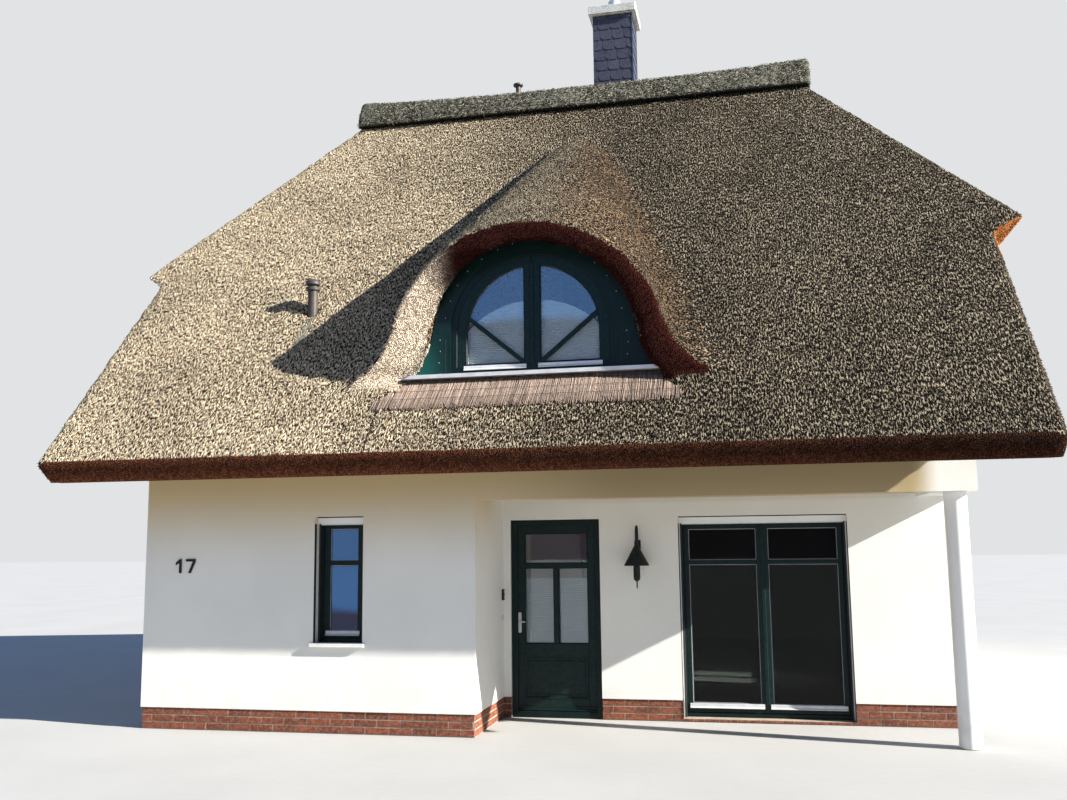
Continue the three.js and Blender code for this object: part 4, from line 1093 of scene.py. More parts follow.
def handle(place, near):
    """Long plate with rounded ends, a lever and the lock's cylinder."""
    maker = Maker(place)
    low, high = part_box("door_handle")
    x0 = low.x - place.translation.x
    middle, half, z0, z1 = x0 + 0.018, 0.018, low.z, high.z
    outline = []
    for centre, start in ((z0 + half, math.pi), (z1 - half, 0)):
        for i in range(13):
            a = start + math.pi * i / 12
            outline.append((middle + half * math.cos(a), centre + half * math.sin(a)))
    maker.plate(outline, near - 0.0083, near - 0.0003)
    shrunk = [(middle + (x - middle) * 0.8, z + (0.004 if z < 1 else -0.004)) for x, z in outline]
    maker.plate(shrunk, near - 0.0105, near - 0.008)
    lever = 1.029
    maker.lathe([(0, -0.002), (0.011, -0.002), (0.011, 0.012), (0.008, 0.014), (0.008, 0.04),
                 (0, 0.04)], (middle, near - 0.006, lever), 24, 0, "y")
    maker.tube([(middle, near - 0.046, lever), (middle + 0.012, near - 0.052, lever),
                (middle + 0.03, near - 0.053, lever), (middle + 0.07, near - 0.05, lever - 0.003)],
               [0.0085, 0.009, 0.0085, 0.0065], 16)
    maker.lathe([(0, 0), (0.0085, 0), (0.0085, 0.006), (0.007, 0.007), (0, 0.007)],
                (middle, near - 0.008, 0.955), 20, 0, "y")
    maker.build("door_lever", [stock("steel")], "steel", DOOR, ["door_handle"])


def slats(maker, span, z0, z1, depth):
    """Closed blind slats one above the other; span gives their ends at a height."""
    rise = settings().joinery.slat
    z = z0
    while z < z1:
        a, b = span(z + rise * 1.02)
        if b - a > 0.02:
            rows = [(0.0, 0.0), (-0.006, rise * 0.25), (-0.008, rise * 0.5),
                    (-0.004, rise * 0.8), (0.002, rise * 1.02), (0.003, rise),
                    (-0.001, rise * 0.5), (0.001, 0.0)]
            points = [(span(z + h)[end], depth + y, z + h) for end in (0, 1) for y, h in rows]
            maker.add(points, prism_faces(len(rows)))
        z += rise


# Dormer front and its window

ARCH = {"x": 0.12, "spring": 4.075, "radius": 0.87, "glass": 0.705, "bottom": 3.655,
        "glass_bottom": 3.745, "mullion": 0.165, "bar": 0.046, "bar_end": 4.265}


def arch_path(radius, bottom, half=None, steps=40):
    """Round-headed outline, anticlockwise; half cuts it to one side of the mullion."""
    x = ARCH["x"]
    if half is None:
        path = [(x - radius, bottom), (x + radius, bottom)]
        for i in range(steps + 1):
            a = math.pi * i / steps
            path.append((x + radius * math.cos(a), ARCH["spring"] + radius * math.sin(a)))
        return path
    edge = abs(half)
    side = 1 if half > 0 else -1
    path = [(edge, bottom), (radius, bottom)]
    top = math.acos(edge / radius)
    for i in range(steps + 1):
        a = top * i / steps
        path.append((radius * math.cos(a), ARCH["spring"] + radius * math.sin(a)))
    if side < 0:
        path = [(-px, pz) for px, pz in reversed(path)]
    return [(x + px, pz) for px, pz in path]


def board_finish():
    """The boards' paint, with a painted patch of sunlight in lighter green at the lower left."""
    boards = settings().joinery.boards
    paint = coated("board_paint", shaded(boards, 0.5), 0.42, 0.25, 4, 0.0004, 0.2,
                   (0.012, 0.035, 0.033), shine=0.2)
    tree = paint.node_tree
    base = tree.nodes["Principled BSDF"].inputs["Base Color"]
    dark = base.links[0].from_socket
    x, y, z = axes(tree, put(tree, "TexCoord").outputs["Object"])
    # Painted light: lighter green where sunlight would reach the lower left corner
    across, up = (-1.15, -0.70), (3.70, 4.25)
    sunlit_patch = times(tree, fade(tree, x, *across, 1, 0), fade(tree, z, *up, 1, 0))
    tree.links.new(mix(tree, sunlit_patch, dark, shaded(boards, 3.2)), base)
    return paint


class COTTAGE_OT_dormer(bpy.types.Operator):
    """Build the dormer's boarded front, arched window, blinds and sill"""
    bl_idname = "cottage.dormer"
    bl_label = "Dormer"

    def execute(self, context):
        low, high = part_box("dormer_window_frame")
        place = Matrix.Translation((0, low.y, 0))
        self.window(place)
        self.blinds(place)
        self.cladding()
        return {"FINISHED"}

    def window(self, place):
        """Round-headed frame with two leaves, a slanted bar in each, and their panes."""
        maker, panes = Maker(place), Maker(place)
        finishes = stocks("green_paint", "rail_metal", "white_trim")
        radius, glass = ARCH["radius"] - 0.0005, ARCH["glass"]
        outer = arch_path(radius, ARCH["bottom"] + 0.0005)
        maker.ring(outer, [(0, 0), (0.062, 0), (0.066, 0.004), (0.066, 0.016), (0.072, 0.016),
                           (0.072, 0.08), (0, 0.08)])
        step = 0.012
        half = ARCH["mullion"] / 2
        for side in (-1, 1):
            leaf = arch_path(radius - 0.069, ARCH["bottom"] + 0.066, side * 0.004, 28)
            field = arch_path(glass, ARCH["glass_bottom"], side * half, 28)
            ring_between(maker, leaf, field, step, 0.074)
            maker.ring(field, [(-0.012, 0.001), (0.0, 0.001), (0.009, 0.010), (0.010, 0.026),
                               (-0.012, 0.026)], 0, step)
            pane(panes, maker, field, 0.041)
            a, b = ARCH["x"] + side * (half - 0.02), ARCH["x"] + side * glass
            foot = (ARCH["x"] + side * half, ARCH["glass_bottom"])
            end = (ARCH["x"] + side * (glass + 0.004), ARCH["bar_end"])
            slanted_bar(maker, foot, end, ARCH["bar"], step + 0.004, 0.039)
            lo, hi = sorted((a, b + side * 0.025))
            weather_bar(maker, lo, hi, ARCH["bottom"] + 0.03, 0.008)
        maker.block((ARCH["x"] - 0.022, 0.002, ARCH["bottom"] + 0.06),
                    (ARCH["x"] + 0.022, step + 0.004, ARCH["spring"] + glass + 0.02), 0.005)
        maker.build("dormer_joinery", finishes, "green_paint", nodes=["dormer_window_frame"])
        sheet = panes.build("dormer_panes", [stock("glass")], "window_glass",
                            nodes=["dormer_window_glass"])
        sheet.visible_shadow = False

    def blinds(self, place):
        """Arched blinds behind both leaves."""
        blind = Maker(place)
        reach, rise = 0.84, 0.68
        base = ARCH["glass_bottom"] - 0.01

        def span(z, side):
            """Ends of a slat: within the blind's flat arch and the glass's round one."""
            arch = reach * math.sqrt(max(0, 1 - ((z - base) / rise) ** 2))
            above = max(0, z - ARCH["spring"])
            round_end = math.sqrt(max(0, ARCH["glass"] ** 2 - above ** 2))
            ends = sorted((side * 0.06, side * min(arch, round_end)))
            return ARCH["x"] + ends[0], ARCH["x"] + ends[1]

        for side in (-1, 1):
            slats(blind, lambda z, side=side: span(z, side), base, base + rise - 0.01, 0.085)
        blind.build("dormer_blinds", [stock("blind")], "white_trim")

    def cladding(self):
        """Painted sheets with fine joints and nails, over the CAD front."""
        paint = board_finish()
        dress(["dormer_front"], paint)
        dress(["dormer_sill"], stock("rail_metal"))
        low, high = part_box("dormer_front")
        random = np.random.default_rng(5)
        nails = Maker()
        spring, x = ARCH["spring"], ARCH["x"]
        spots = []
        for radius, count in ((0.95, 15), (1.04, 9)):
            for i in range(count):
                a = math.pi * (0.06 + 0.88 * i / (count - 1))
                spots.append((x + radius * math.cos(a), spring + radius * math.sin(a)))
        for side in (-1, 1):
            for step in range(4):
                spots.append((x + side * 0.99, 3.66 + 0.12 * step))
                spots.append((x + side * (1.13 + 0.11 * step), 3.64 + 0.02 * step))
        for px, pz in spots:
            px += 0.02 * (random.random() - 0.5)
            nails.lathe([(0, 0), (0.0045, 0), (0.004, 0.0016), (0.002, 0.0026), (0, 0.003)],
                        (px, low.y - 0.0002, pz), 10, 0, "y")
        for side in (-1, 1):
            joint = x + side * 0.925
            nails.block((joint - 0.0022, low.y - 0.0012, 3.62),
                        (joint + 0.0022, low.y + 0.003, 4.02), 0.0005, 1)
        nails.build("dormer_nails", stocks("rail_metal", "gasket"), "zinc")


def ring_between(maker, outer, inner, near, far):
    """A frame between two outlines of equal point count, matched from their first points."""
    n = len(outer)
    rows = []
    for path, depth in ((outer, near), (inner, near), (inner, far), (outer, far)):
        rows.append([(x, depth, z) for x, z in path])
    points = [p for row in rows for p in row]
    faces = []
    for k in range(4):
        l = (k + 1) % 4
        for i in range(n):
            j = (i + 1) % n
            faces.append([k * n + i, k * n + j, l * n + j, l * n + i])
    maker.add(points, faces)


def slanted_bar(maker, start, end, width, near, far):
    """A straight bar between two points of x and z, with chamfers in front."""
    a, b = np.array(start), np.array(end)
    along = (b - a) / np.linalg.norm(b - a)
    off = np.array([-along[1], along[0]]) * width / 2
    chamfer = off * 0.75
    outline = [a - off, b - off, b + off, a + off]
    slim = [a - chamfer, b - chamfer, b + chamfer, a + chamfer]
    if np.cross(outline[1] - outline[0], outline[2] - outline[1]) < 0:
        outline.reverse()
        slim.reverse()
    points = [(x, near + 0.005, z) for x, z in outline] + [(x, far, z) for x, z in outline]
    points += [(x, near, z) for x, z in slim]
    faces = [[8, 9, 10, 11], [7, 6, 5, 4]]
    for i in range(4):
        j = (i + 1) % 4
        faces += [[i, i + 4, j + 4, j], [8 + i, i, j, 8 + j]]
    maker.add(points, faces)


# Thatch; the apron lies before the dormer's sill, given by y and z of its top and foot

APRON = {"top": (-4.262, 3.592), "foot": (-4.640, 3.280), "left": -1.48, "right": 1.64}

# Upper edge of the roof's eaves; where their cut starts, its height, and its slant left and right

EAVES_OUT, EAVES_HEIGHT = 5.1, 2.77
EAVES_TOP, EAVES_CUT, EAVES_SLANT = 2.76, 0.26, (0.36, 0.10)

# Half-hips: where they start, the way down their slope across and up, and where they are cut off

HIP_START, HIP_DOWN, HIP_CUT = (-4.0, 3.9), (0.56, -0.83), 4.6

# Left side of the dormer's lip: its outer edge as height and x, its front, and how deep it is cut

LIP_EDGE = ((3.55, -1.78), (3.66, -1.68), (3.77, -1.53), (4.19, -1.31), (4.70, -1.00),
            (4.95, -0.80))
LIP_FACE, LIP_DEPTH = -4.455, 0.19

# Where the colour of cut reed changes, with its painted light and shade: eaves across and up, lip
# across and along, right half-hip

EAVES_SPAN, EAVES_RISE = (-2.5, 5.2), (2.50, 2.73)
LIP_SUNLIT, LIP_START = (-1.15, -0.72), (-4.95, -4.80)
RIGHT_HIP_SIDE, RIGHT_HIP_RISE = (4.72, 4.82), (4.7, 4.9)

# Stain under the lower vent, and crack below the apron in painted shade: place, edge of the mask, top
# and foot

STAIN = {"x": -2.655, "edge": (0.025, 0.065), "top": (-3.44, -3.40), "foot": (-4.0, -3.88),
         "colour": (0.15, 0.15, 0.125)}
CRACK = {"x": -1.37, "edge": (0.006, 0.024), "top": (-4.68, -4.62)}

# Dormer's right flank, turned to the sun, which gets painted shade: where it ends, and the shade's
# colour

FLANK = {"end": (2.3, 2.9), "shade_tint": (0.60, 0.47, 0.39)}


def down_slope(points, normals):
    """Direction in which the reeds point, at each point."""
    x, y = points[:, 0], points[:, 1]
    nx, ny = normals[:, 0], normals[:, 1]
    down = np.zeros_like(points)
    level, drop = math.cos(SLOPE), math.sin(SLOPE)
    slope = (abs(nx) > abs(ny) * 1.3) & ((x < HIP_START[0]) | (x > HIP_START[1]))
    side = slope | (abs(x) > HIP_CUT) & (abs(nx) > 0.4)
    down[:, 1] = np.where(y < 0, -level, level)
    down[:, 2] = -drop
    down[side, 1] = 0
    down[side, 0] = np.sign(x[side]) * HIP_DOWN[0]
    down[side, 2] = HIP_DOWN[1]
    down -= normals * (down * normals).sum(1)[:, None]
    size = np.linalg.norm(down, axis=1)
    down[size < 0.05] = (0, 0, -1)
    return unit(down)


def roof_mesh(grid):
    """The four thatched faces as one even mesh with rounded edges."""
    bm = bmesh.new()
    for node in THATCH_NODES:
        bm.from_mesh(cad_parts[node].data)
    mesh = bpy.data.meshes.new("roof_form")
    bm.to_mesh(mesh)
    bm.free()
    return even_mesh(mesh, grid)


def read_mesh(mesh):
    points = np.zeros(len(mesh.vertices) * 3, np.float32)
    mesh.vertices.foreach_get("co", points)
    edges = np.zeros(len(mesh.edges) * 2, np.int32)
    mesh.edges.foreach_get("vertices", edges)
    return points.reshape(-1, 3).astype(float), edges.reshape(-1, 2)


def relax(points, edges, rounds):
    """Smooths points towards the middle of their neighbours."""
    count = np.bincount(edges.ravel(), minlength=len(points))[:, None]
    for _ in range(rounds):
        total = np.zeros_like(points)
        for i in range(3):
            total[:, i] = (np.bincount(edges[:, 0], points[edges[:, 1], i], len(points))
                           + np.bincount(edges[:, 1], points[edges[:, 0], i], len(points)))
        points = points + 0.5 * (total / np.maximum(count, 1) - points)
    return points


def vertex_normals(mesh):
    normals = np.zeros(len(mesh.vertices) * 3, np.float32)
    mesh.vertex_normals.foreach_get("vector", normals)
    return normals.reshape(-1, 3).astype(float)


def slanted_lip(points):
    """Cuts the left side of the dormer's lip aslant, so that it faces the window."""
    x, y, z = points.T
    outer = np.interp(z, *zip(*LIP_EDGE))
    face = LIP_FACE - 0.067 * (z - 3.7)
    steep = 0.5 * np.interp(z, (3.52, 3.62, 4.55, 4.90), (0, 1, 1, 0))
    limit = face + np.clip(steep * (x - outer), 0, LIP_DEPTH)
    near = (y < -4.2) & (y > -4.62) & (x > outer) & (x < outer + 0.62) & (z > 3.5) & (z < 4.95)
    made = points.copy()
    made[:, 1] = np.where(near, np.maximum(y, limit), y)
    return made


def slanted_ends(points):
    """Cuts the ends of the front eaves aslant, shorter below than above."""
    x, y, z = points.T
    below = np.clip((EAVES_TOP - z) / EAVES_CUT, 0, 1) * (y < -4.6)
    near_end = np.interp(np.abs(x), (4.7, 5.3), (0, 1))
    made = points.copy()
    made[:, 0] -= np.sign(x) * below * near_end * np.where(x < 0, *EAVES_SLANT)
    return made


def waves(points, scale, seed):
    """Smooth random heights from -1 to 1, one for each point."""
    shift = Vector((seed * 7.31, seed * 3.17, seed * 5.71))
    return np.array([noise.noise(Vector(p) * scale + shift) for p in points])


def reed_marks(points, normals):
    """For each point: across and along the reeds, and how far it is a cut or under face."""
    down = down_slope(points, normals)
    across = np.cross(down, normals)
    x, y, z = points.T
    lift = np.where(y < 0, z - (EAVES_HEIGHT + (y + EAVES_OUT) * math.tan(SLOPE)), 0.0)
    lift = np.clip(lift, 0, 2)
    u = np.where(abs(across[:, 0]) > 0.5, x, y)
    u = u + lift * np.clip((x - ARCH["x"]) / 1.2, -1, 1) * 0.7
    v = np.where(y < 0, -(y * math.cos(SLOPE) + z * math.sin(SLOPE)),
                 y * math.cos(SLOPE) - z * math.sin(SLOPE))
    nx, ny, nz = normals.T
    faces_out = (abs(ny) > 0.72) & (nz < 0.3) | (abs(nx) > 0.75) & (nz < 0.3) & (abs(x) > 4.75)
    cut = np.where(faces_out | (nz < -0.25), 1.0, 0.0)
    return u, v, cut


def thatch_finish():
    """Reed surface: short light ends over brown, with painted shade deep between the reeds; cut faces
    show round ends with painted shade between them.
    """
    t = settings().thatch
    made, tree, shader, place = new_material("thatch")
    u, v, cut = axes(tree, put(tree, "Attribute", attribute_name="reed").outputs["Vector"])

    def streaks(across, along, seed, detail=2.0):
        sockets = {0: times(tree, u, across), 1: times(tree, v, along), 2: seed}
        return grains(tree, put(tree, "CombineXYZ", sockets).outputs[0], 1.0, detail, 0.6)

    x, y, z = axes(tree, place)
    sideways = axes(tree, put(tree, "NewGeometry").outputs["True Normal"])[0]
    flank = times(tree, fade(tree, sideways, 0.1, 0.5), fade(tree, x, *FLANK["end"], 1, 0))
    fine = put(tree, "Mix", {0: flank, 2: streaks(64, 21, 0.0),
                             3: grains(tree, place, 44.0, 2)}).outputs[0]
    coarse = streaks(17, 7, 4.0, 3.0)
    # Painted light: the reed lighter on the left and darker on the right of the roof
    sheen = place_group(tree, "Painted reed sheen", {"Vector": place}).outputs[0]
    level = calc(tree, "ADD", fine, times(tree, calc(tree, "SUBTRACT", sheen, 1.0), 0.035))
    # Where the level is low, painted shade deep between the reeds
    deep = fade(tree, level, 0.43, 0.50)
    bright = fade(tree, level, 0.50, 0.555)
    body = mix(tree, deep, tuple(t.hollow_shade), tuple(t.brown))
    body = toned(tree, body, sheen)
    ends = toned(tree, tuple(t.straw), calc(tree, "POWER", sheen, 0.50))
    body = mix(tree, bright, body, ends)
    body = toned(tree, body, fade(tree, coarse, 0.32, 0.62, 0.6, 1.15))
    # Painted shade: the sun-facing right flank darker and browner
    body = mix(tree, flank, body, mix(tree, 1.0, body, FLANK["shade_tint"], "MULTIPLY"))
    body = mix(tree, run_off(tree, x, y, fine), body, STAIN["colour"])
    # Painted shade in the crack below the apron
    body = mix(tree, seam(tree, x, y, coarse), body, tuple(t.hollow_shade))

    dots = put(tree, "TexVoronoi", {"Vector": place, "Scale": 75.0}).outputs["Distance"]
    holes = fade(tree, dots, 0.25, 0.62)
    cutting = place_group(tree, "Cut reed", {"Vector": place}).outputs[0]
    # Painted shade between the round ends of the cut reeds
    gap_shade = mix(tree, 1.0, cutting, (0.3, 0.27, 0.25), "MULTIPLY")
    cutting = mix(tree, holes, cutting, gap_shade)
    cutting = toned(tree, cutting, patches(tree, place, 26.0, 3, 0.35, 0.65, 0.6, 1.25))
    edge = fade(tree, cut, 0.25, 0.75)
    tree.links.new(mix(tree, edge, body, cutting), shader.inputs["Base Color"])
    surface(shader, 0.88, 0.06)
    height = calc(tree, "ADD", times(tree, fine, 0.7), times(tree, coarse, 0.4))
    dotted = calc(tree, "SUBTRACT", 1.0, dots)
    height = put(tree, "Mix", {0: edge, 2: height, 3: dotted}).outputs[0]
    bump(tree, shader, height, 0.028, 1.0)
    return made


def run_off(tree, x, y, fine):
    """Mask of the grey stain that rain leaves below the lower vent."""
    aside = calc(tree, "ABSOLUTE", calc(tree, "SUBTRACT", x, STAIN["x"]))
    mask = fade(tree, aside, *STAIN["edge"], 0.75, 0.0)
    mask = times(tree, mask, fade(tree, y, *STAIN["foot"]))
    mask = times(tree, mask, fade(tree, y, *STAIN["top"], 1, 0))
    return times(tree, mask, fade(tree, fine, 0.35, 0.5, 0.5, 1.0))


def seam(tree, x, y, coarse):
    """Mask of the painted shade in the crack from the apron's corner down to the eaves."""
    wander = times(tree, coarse, 0.06)
    aside = calc(tree, "ADD", calc(tree, "SUBTRACT", x, CRACK["x"]), wander)
    mask = fade(tree, calc(tree, "ABSOLUTE", aside), *CRACK["edge"], 0.9, 0.0)
    return times(tree, mask, fade(tree, y, *CRACK["top"], 1, 0))


def straw_finish(name, light=None, dark=None):
    """Single reeds, each with a tone of its own; without colours they are cut reeds."""
    made, tree, shader, place = new_material(name)
    chance = by_chance(tree)
    if light is None:
        light = place_group(tree, "Cut reed", {"Vector": place}).outputs[0]
        dark = mix(tree, 1.0, light, (0.4, 0.37, 0.35), "MULTIPLY")
    tone = mix(tree, fade(tree, chance, 0.1, 0.95), dark, light)
    fine = grains(tree, place, 45.0, 3)
    tone = toned(tree, tone, fade(tree, fine, 0.25, 0.75, 0.7, 1.25))
    # Reed ends get the same painted light, lighter on the left and darker on the right
    if name == "reed_end":
        sheen = place_group(tree, "Painted reed sheen", {"Vector": place})
        tone = toned(tree, tone, calc(tree, "POWER", sheen.outputs[0], 0.8))
    tree.links.new(tone, shader.inputs["Base Color"])
    surface(shader, 0.8, 0.12)
    bump(tree, shader, fine, 0.002, 0.5)
    return made


def needles(points, normals, downs, sizes, random, lift=0.25):
    """Closed three-sided reeds: foot in the surface, tip lifted along the slope."""
    n = len(points)
    long, wide = sizes
    across = np.cross(downs, normals)
    size = long * (0.6 + 0.8 * random.random(n))[:, None]
    half = wide * (0.35 + 0.35 * random.random(n))[:, None]
    swing = (random.random(n)[:, None] - 0.5) * 0.5
    ahead = downs + across * swing
    up = lift * (0.5 + random.random(n))[:, None]
    foot = points - normals * wide * 0.5 - ahead * size * 0.4
    a = foot + across * half
    b = foot - across * half
    c = foot + normals * wide * 0.9
    tip = foot + ahead * size + normals * size * up
    made = np.stack([a, b, c, tip], 1).reshape(-1, 3)
    base = np.arange(n)[:, None] * 4
    faces = np.concatenate([base + f for f in ([0, 2, 1], [0, 1, 3], [1, 2, 3], [2, 0, 3])])
    return made, faces


def thinned(points, quads, chosen, cell, index):
    """Lets one point stand for all chosen points of a cell, inside the chosen region."""
    inner = np.ones(len(points), bool)
    inner[quads[~chosen[quads].all(1)].ravel()] = False
    picked = np.flatnonzero(inner & chosen)
    cells = np.floor(points[picked] / cell).astype(np.int64) + 500
    keys = (cells[:, 0] * 2000 + cells[:, 1]) * 2000 + cells[:, 2]
    _, first, inverse = np.unique(keys, return_index=True, return_inverse=True)
    index[picked] = picked[first][inverse]


def inside_box(points):
    """Keeps points within the CAD box."""
    margin = 0.003
    low, high = (np.array(p) for p in CAD_BOX)
    return np.clip(points, low + margin, high - margin)


def orient(points, faces):
    """Turns all faces if the body's volume comes out negative."""
    a, b, c = (points[faces[:, i]] for i in range(3))
    return faces if (a * np.cross(b, c)).sum() > 0 else faces[:, ::-1]


class COTTAGE_OT_thatch(bpy.types.Operator):
    """Lay the reed on the four roof faces and the dormer"""
    bl_idname = "cottage.thatch"
    bl_label = "Thatch"

    def execute(self, context):
        t = settings().thatch
        mesh = roof_mesh(t.grid)
        points, edges = read_mesh(mesh)
        points = relax(points, edges, 5)
        move_points(mesh, points)
        u, v, cut = reed_marks(points, vertex_normals(mesh))
        points = slanted_ends(slanted_lip(points))
        move_points(mesh, points)
        normals = vertex_normals(mesh)
        random = np.random.default_rng(3)
        wide = waves(points, 1.7, 1) * 0.012 + waves(points, 7.0, 2) * 0.010
        rough = (random.random(len(points)) - 0.62) * t.relief * 1.6
        depth = np.where(cut > 0.5, 0.3 * rough, wide * 0.8 + rough - 0.006)
        depth = np.where((normals[:, 2] < -0.4) | (points[:, 1] > 0.15), 0, depth)
        move_points(mesh, inside_box(points + normals * depth[:, None]))
        cut = relax(np.stack([cut] * 3, 1), edges, 1)[:, 0]
        marks = mesh.attributes.new("reed", "FLOAT_VECTOR", "POINT")
        marks.data.foreach_set("vector", np.stack([u, v, cut], 1).astype(np.float32).ravel())
        self.halves(mesh, thatch_finish())
        self.reed_ends(mesh, points, normals)
        return {"FINISHED"}

    def halves(self, mesh, finish):
        """The front half and the back half, with flat undersides in few faces."""
        points, _ = read_mesh(mesh)
        marks = np.zeros(len(points) * 3, np.float32)
        mesh.attributes["reed"].data.foreach_get("vector", marks)
        marks = marks.reshape(-1, 3)
        quads = corners_of(mesh).reshape(-1, 4)
        target = np.arange(len(points))
        thinned(points, quads, points[:, 1] > 0.2, 0.072, target)
        thinned(points, quads, vertex_normals(mesh)[:, 2] < -0.6, 0.25, target)
        triangles = target[np.concatenate([quads[:, [0, 1, 2]], quads[:, [0, 2, 3]]])]
        same = (triangles == np.roll(triangles, 1, 1)).any(1)
        triangles = triangles[~same]
        middle = points[triangles].mean(1)[:, 1]
        for name, front in (("thatch_front_reed", True), ("thatch_back_reed", False)):
            chosen = triangles[(middle < 0) == front]
            used, inverse = np.unique(chosen, return_inverse=True)
            part = make_mesh(name, points[used], [inverse.reshape(-1, 3)])
            held = part.attributes.new("reed", "FLOAT_VECTOR", "POINT")
            held.data.foreach_set("vector", marks[used].ravel())
            part.shade_smooth()
            nodes = ["thatch_front", "half_hip_left", "half_hip_right"] if front else ["thatch_back"]
            settle(name, part, [finish], nodes=nodes, crease=0)

    def reed_ends(self, mesh, points, normals):
        """Reeds that stand out of the slopes, more of them on the front."""
        t = settings().thatch
        random = np.random.default_rng(17)
        count = len(mesh.polygons)
        starts = np.zeros(count, np.int32)
        mesh.polygons.foreach_get("loop_start", starts)
        sides = np.zeros(count, np.int32)
        mesh.polygons.foreach_get("loop_total", sides)
        quads = corners_of(mesh)[starts[sides == 4][:, None] + np.arange(4)]
        middle = points[quads].mean(1)
        facing = unit(normals[quads].mean(1))
        _, _, cut = reed_marks(middle, facing)
        area = np.linalg.norm(np.cross(points[quads[:, 2]] - points[quads[:, 0]],
                                       points[quads[:, 3]] - points[quads[:, 1]]), axis=1) / 2
        x, y, z = middle.T
        under_apron = (abs(x - ARCH["x"]) < 1.4) & (abs(y + 4.43) < 0.2) & (z < 3.65)
        outer = (cut < 0.5) & (facing[:, 2] > -0.1) & ~under_apron
        front = outer & (y < 0)
        light = straw_finish("reed_end", tuple(t.straw), shaded(t.brown, 0.9))
        groups = [("reed_ends_left", front & (x < ARCH["x"]), t.ends // 2),
                  ("reed_ends_right", front & (x >= ARCH["x"]), t.ends // 2),
                  ("reed_ends_back", outer & (y >= 0), t.ends // 3)]
        for name, chosen, number in groups:
            self.scatter(name, points, normals, quads[chosen], area[chosen], number,
                         (t.end_length, t.end_width), random, light)
        outward = facing[:, 1] * np.sign(y) > 0.25
        outward |= (facing[:, 0] * np.sign(x) > 0.3) & (abs(x) > HIP_CUT)
        mouth = (abs(x - ARCH["x"]) < 1.8) & (y < -4.2) & (y > -4.75) & (z > 3.45)
        rim = (cut > 0.5) & (facing[:, 2] < 0.3) & (outward | mouth)
        self.scatter("reed_ends_cut", points, normals, quads[rim], area[rim], t.cut_ends,
                     (0.02, 0.012), random, straw_finish("reed_cut"), True)

    def scatter(self, name, points, normals, quads, area, number, sizes, random, finish,
                outward=False):
        """Reeds at random places of the given faces, down the slope or out of them."""
        pick = random.choice(len(quads), number, p=area / area.sum())
        a, b = random.random((2, number, 1))
        p, n = points[quads[pick]], normals[quads[pick]]
        weights = [(1 - a) * (1 - b), a * (1 - b), a * b, (1 - a) * b]
        at = sum(w * p[:, i] for i, w in enumerate(weights))
        facing = unit(sum(w * n[:, i] for i, w in enumerate(weights)))
        downs = down_slope(at, facing)
        if outward:
            side = np.cross(facing, downs)
            made, faces = needles(at, side, facing, sizes, random, 0.1)
        else:
            made, faces = needles(at - facing * 0.008, facing, downs, sizes, random)
        made = inside_box(made)
        mesh = make_mesh(name, made, [orient(made, faces)])
        settle(name, mesh, [finish], crease=0)


def ridge_finish():
    """Rough twigs in a roll, in painted shade along the edge that lies on the reed."""
    t = settings().thatch
    made, tree, shader, place = new_material("ridge_roll")
    twigs = put(tree, "Mapping", {0: place, 3: (0.6, 1.0, 1.0)}).outputs[0]
    fine = grains(tree, twigs, 62.0, 4, 0.7)
    lumps = grains(tree, place, 17.0, 4, 0.65)
    result = mix(tree, fade(tree, fine, 0.38, 0.58), shaded(t.ridge, 0.16), tuple(t.ridge))
    result = mix(tree, fade(tree, fine, 0.55, 0.66), result, shaded(t.ridge, 1.9))
    result = toned(tree, result, fade(tree, lumps, 0.35, 0.62, 0.72, 1.12))
    mossy = patches(tree, place, 2.6, 4, 0.42, 0.7, 0.0, 0.25)
    result = mix(tree, mossy, result, (0.10, 0.105, 0.07))
    x, y, z = axes(tree, place)
    result = toned(tree, result, fade(tree, x, -2.8, 1.2, 0.72, 1.05))
    # Painted shade: darker along the roll's lower edge, where it lies on the reed
    inward = calc(tree, "SUBTRACT", EAVES_OUT, calc(tree, "ABSOLUTE", y))
    slope = times(tree, inward, math.tan(SLOPE))
    lift = calc(tree, "SUBTRACT", z, calc(tree, "ADD", slope, EAVES_HEIGHT))
    result = toned(tree, result, fade(tree, lift, 0.07, 0.12, 0.10, 1.0))
    tree.links.new(result, shader.inputs["Base Color"])
    surface(shader, 0.95, 0.15)
    bump(tree, shader, fine, 0.03, 1.0)
    return made


